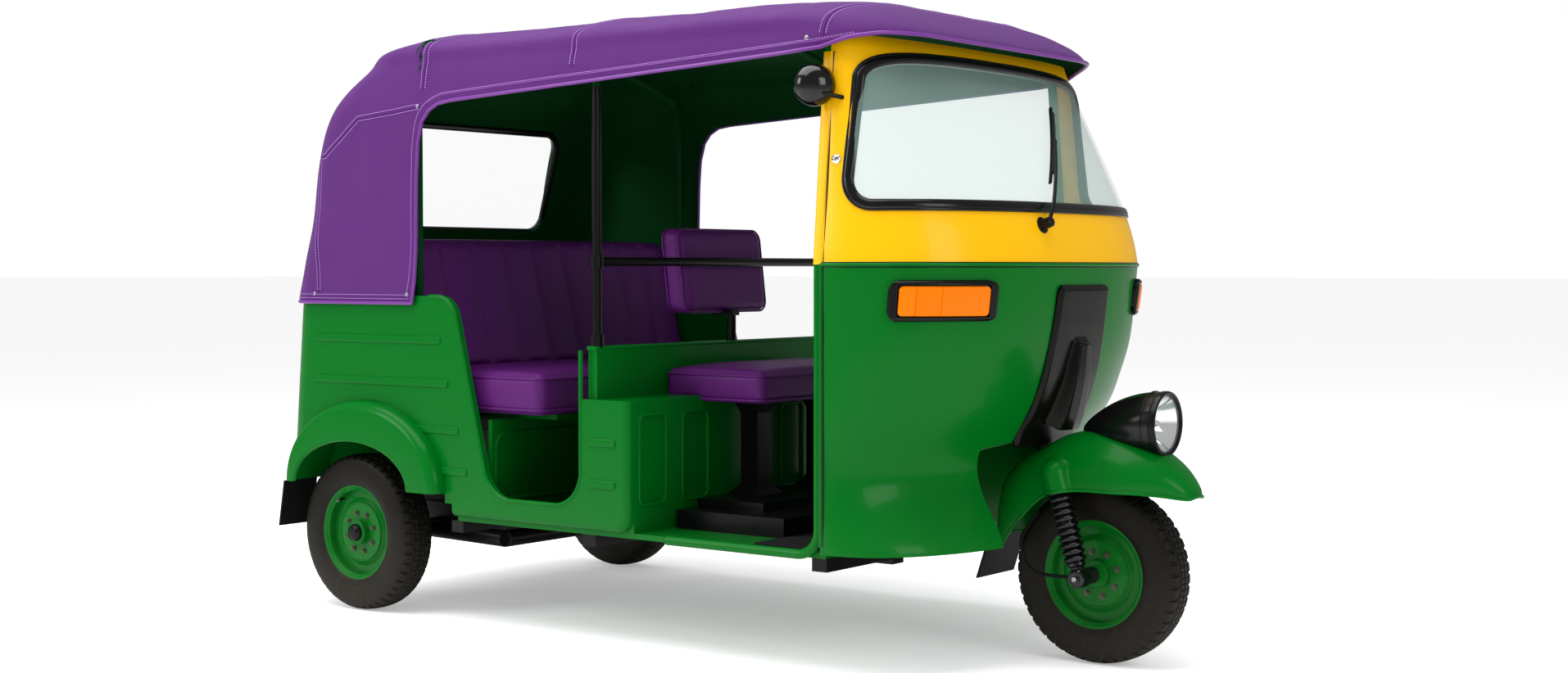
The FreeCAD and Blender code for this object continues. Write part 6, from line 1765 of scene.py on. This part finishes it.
    def build(self) -> None:
        """Make the pieces and hang them on the steering body."""
        place(self.guard(), "steering", "green_paint", "front_mudguard")
        place(joined("headlamp_parts", self.lamp_parts() + [self.lamp_shell()]), "steering", "black_plastic",
              "headlamp_shell")
        place(self.leg(), "steering", "black_rubber", "damper")
        place(joined("bar_fittings", self.bar_fittings()), "steering", "black_plastic")
        LOG.info("front end done")


# Body trim


@dataclass
class BodyTrim:
    """Rolled edges, pressed rims, mats, lamps and the lid's louvres on the tub and the cab floor."""

    side: float = 0.605
    # the passenger doorway's edge as (x, z), and its corners' radii
    doorway: tuple = ((-0.7, 0.9035), (-0.6105, 0.9035), (-0.469, 0.3585), (-0.1355, 0.3585), (-0.1355, 0.768))
    doorway_radii: tuple = (0.07, 0.105, 0.095)
    box_face: float = 0.028
    # each mat's name, low corner and high corner
    mats: tuple = (("mat_front", (0.402, -0.56, 0.3003), (0.598, 0.56, 0.306)),
                   ("mat_rear", (-0.455, -0.56, 0.3003), (-0.135, 0.56, 0.306)))
    # middles across and half widths of the box's pressed panels
    panels: tuple = ((-0.505, 0.05), (-0.331, 0.05), (0.099, 0.05), (0.331, 0.05), (0.505, 0.05))
    panel_z: tuple = (0.373, 0.6)
    # the bench front's pressed panels: x, z, half width, half height, corner radius
    bench_panel: tuple = (-0.4795, 0.44, 0.165, 0.09, 0.035)
    # the rear face: x and z at its foot, how far it leans forward and over what height, and its normal
    tub: tuple = (-1.325, 0.44, 0.04, 0.465)
    slope: tuple = (-1.0, 0.0, 0.086)
    # the wheel opening's middle x and foot z, half length and height, and how far out its lip stands
    arch: tuple = (-0.985, 0.3617, 0.2385, 0.133, 0.644)
    # the fold on the partition's top: x, half width and z
    fold: tuple = (-0.1125, 0.585, 0.7735)
    # the louvres' rows, lowest z, pitch, and inner and outer ends across
    louvre: tuple = (7, 0.56, 0.03, 0.055, 0.265)
    # the lid's middle z, half width, half height and corner radius, and its lock's z
    lid: tuple = (0.65, 0.312, 0.152, 0.02, 0.515)
    tail: tuple = (0.426, 0.78)
    tail_radius: float = 0.042

    def rear_x(self, z: float | Array) -> float | Array:
        """The tub's sloping rear face."""
        x, foot, lean, tall = self.tub
        return x + lean * (z - foot) / tall

    def door_edges(self) -> list:
        """The passenger doorway's rolled edge on both sides, and the wheel openings' lips."""
        made = []
        green = Look.GREEN
        outline = rounded_path(self.doorway, self.doorway_radii, 14)
        turn = np.linspace(0.02, np.pi - 0.02, 90)
        middle, foot, long, tall, out = self.arch
        for way in (-1, 1):
            path = np.insert(outline, 1, way * (self.side - 0.0025), axis=1)
            dense = smooth_curve(path, 260)
            made.append(tube("door_bead%d" % way, dense, 0.0058, green, up=(0, 1, 0)))
            lip = np.stack([middle + long * np.cos(turn), np.full(90, way * out), foot + tall * np.sin(turn)],
                           axis=1)
            made.append(tube("arch_bead%d" % way, lip, 0.0055, green, up=(0, 1, 0)))
        x, half, z = self.fold
        top = np.column_stack([np.full(60, x), np.linspace(-half, half, 60), np.full(60, z)])
        made.append(band("partition_fold", top, (0, 0, 1), 0.0175, 0.0055, green, square=0.6))
        return made

    def box_rims(self) -> list:
        """Raised rims round the box's pressed panels."""
        made = []
        middle, tall = sum(self.panel_z) / 2, (self.panel_z[1] - self.panel_z[0]) / 2
        for count, (across, half) in enumerate(self.panels):
            ring = rounded_rectangle(half + 0.003, tall + 0.003, 0.021, 9)
            made.append(band("box_rim%d" % count, stood(ring, self.box_face, across, middle), (1, 0, 0), 0.0042,
                             0.0026, Look.GREEN, closed=True, square=1.0))
        return made

    def mat(self, name: str, low: Numbers, high: Numbers, pitch: float = 0.012) -> Piece:
        """A rubber mat whose ribs run along X: its section steps up and down across Y."""
        count = int((high[1] - low[1]) / pitch)
        edge = low[1] + (np.arange(count)[:, None] + np.array([0.0, 0.08, 0.55, 0.63])) * pitch
        rise = np.array([0.0, 1.0, 1.0, 0.0]) * 0.0025
        top = np.column_stack([edge.ravel(), np.tile(high[2] - 0.0025 + rise, count)])
        section = np.concatenate([[(low[1], low[2])], top, [(high[1], high[2] - 0.0025), (high[1], low[2])]])
        rings = np.stack([np.column_stack([np.full(len(section), x), section]) for x in (low[0], high[0])])
        return capped(name, rings, Look.RUBBER)

    def lamps(self) -> list:
        """Ringed tail lamps with domed, sectioned lenses."""
        made = []
        slope = unit(np.array(self.slope))
        across, z = self.tail
        for way in (-1, 1):
            centre = np.array([self.rear_x(z) - 0.0123, way * across, z])
            radius = self.tail_radius
            rim = [(radius + out, along) for out, along in (
                (-0.004, -0.01), (-0.004, 0.001), (-0.001, 0.003), (0.002, 0.001), (0.003, -0.01))]
            made.append(lathe("lamp_ring%d" % way, rim + rim[:1], centre, slope, Look.BLACK_PLASTIC, 72))
            share = np.linspace(0, 1, 60)
            rise = 0.0065 * (1 - share ** 2) + 0.0007 * np.sign(np.sin(share * 60))
            dome = np.column_stack([share * (radius - 0.004), rise])
            made.append(lathe("lamp_lens%d" % way, dome, centre, slope, Look.RED, 72, 60))
        return made

    def louvres(self) -> list:
        """Two columns of pressed louvres on the engine lid, its rim bead and its handle."""
        made = []
        slope = unit(np.array(self.slope))
        green = Look.GREEN
        rows, lowest, pitch, inner, outer = self.louvre
        for row in range(rows):
            z = lowest + row * pitch
            for way in (-1, 1):
                across = way * np.linspace(inner, outer, 24)
                line = np.insert(np.full((24, 2), (self.rear_x(z), z)), 1, across, 1)
                made.append(band("louvre%d_%d" % (row, way), line, slope, 0.0085, 0.005, green, square=1.0))
        middle, half, tall, radius, lock = self.lid
        ring = rounded_rectangle(half, tall, radius, 9)
        path = stood(ring, self.rear_x(ring[:, 1] + middle), 0.0, middle)
        made.append(band("lid_bead", path, slope, 0.005, 0.003, green, closed=True, square=1.0))
        cup = [(0.0, 0.004), (0.013, 0.004), (0.017, 0.001), (0.017, -0.004), (0.0, -0.004)]
        spot = np.array([self.rear_x(lock), 0.0, lock])
        made.append(lathe("lid_lock", cup, spot, slope, Look.STEEL, 40))
        bar = spot + slope * 0.01 + np.linspace(-0.026, 0.026, 12)[:, None] * np.array([0.0, 1.0, 0.0])
        made.append(band("lid_handle", bar, slope, 0.0052, 0.0042, Look.BLACK_PLASTIC))
        stem = [(0.0, 0.011), (0.0042, 0.011), (0.0042, 0.0), (0.0, 0.0)]
        made.append(lathe("lid_stem", stem, spot, slope, Look.BLACK_PLASTIC, 24))
        return made

    def bench_rims(self) -> list:
        """Raised rims round the pressed panels of the bench's front sheet."""
        made = []
        x, z, half, tall, radius = self.bench_panel
        ring = rounded_rectangle(half, tall, radius, 9)
        # The rims take the darker copy of the green paint: painted shade inside the cab.
        for across in (-0.4, 0.0, 0.4):
            made.append(band("bench_rim%d" % round(across * 1000), stood(ring, x, across, z), (1, 0, 0),
                             0.0065, 0.0034, Look.DEEP_GREEN, closed=True, square=1.0))
        return made

    def build(self) -> None:
        """Place all the body's trim."""
        edges = self.door_edges() + self.box_rims() + self.bench_rims()
        place(joined("rolled_edges", edges), "cab", "green_paint")
        place(joined("floor_mats", [self.mat(*mat) for mat in self.mats]), "cab", "black_rubber")
        place(joined("tail_lamp_lenses", self.lamps()), "cab", "red_plastic")
        place(joined("lid_louvres", self.louvres()), "lid", "green_paint")
        LOG.info("body trim done")


# where each wheel is, its centre and the way to its outer side
WHEELS = (("rear_right", (-1.015, -0.549, 0.224), -1), ("rear_left", (-1.015, 0.549, 0.224), 1),
          ("front", (1.065, 0.0, 0.224), -1))


def main() -> None:
    """Build every sub-assembly in order."""
    logging.basicConfig(level=logging.INFO, format="%(name)s: %(message)s")
    CadDress().dress()
    Studio().build()
    hood = Hood()
    hood.build()
    Nose().build(bpy.data.objects["canopy_cloth"])
    FrontEnd().build()
    BodyTrim().build()
    for where, centre, outboard in WHEELS:
        Wheel(where, centre, outboard, where != "front").build()
    Seats().build()


if __name__ == "__main__":
    main()
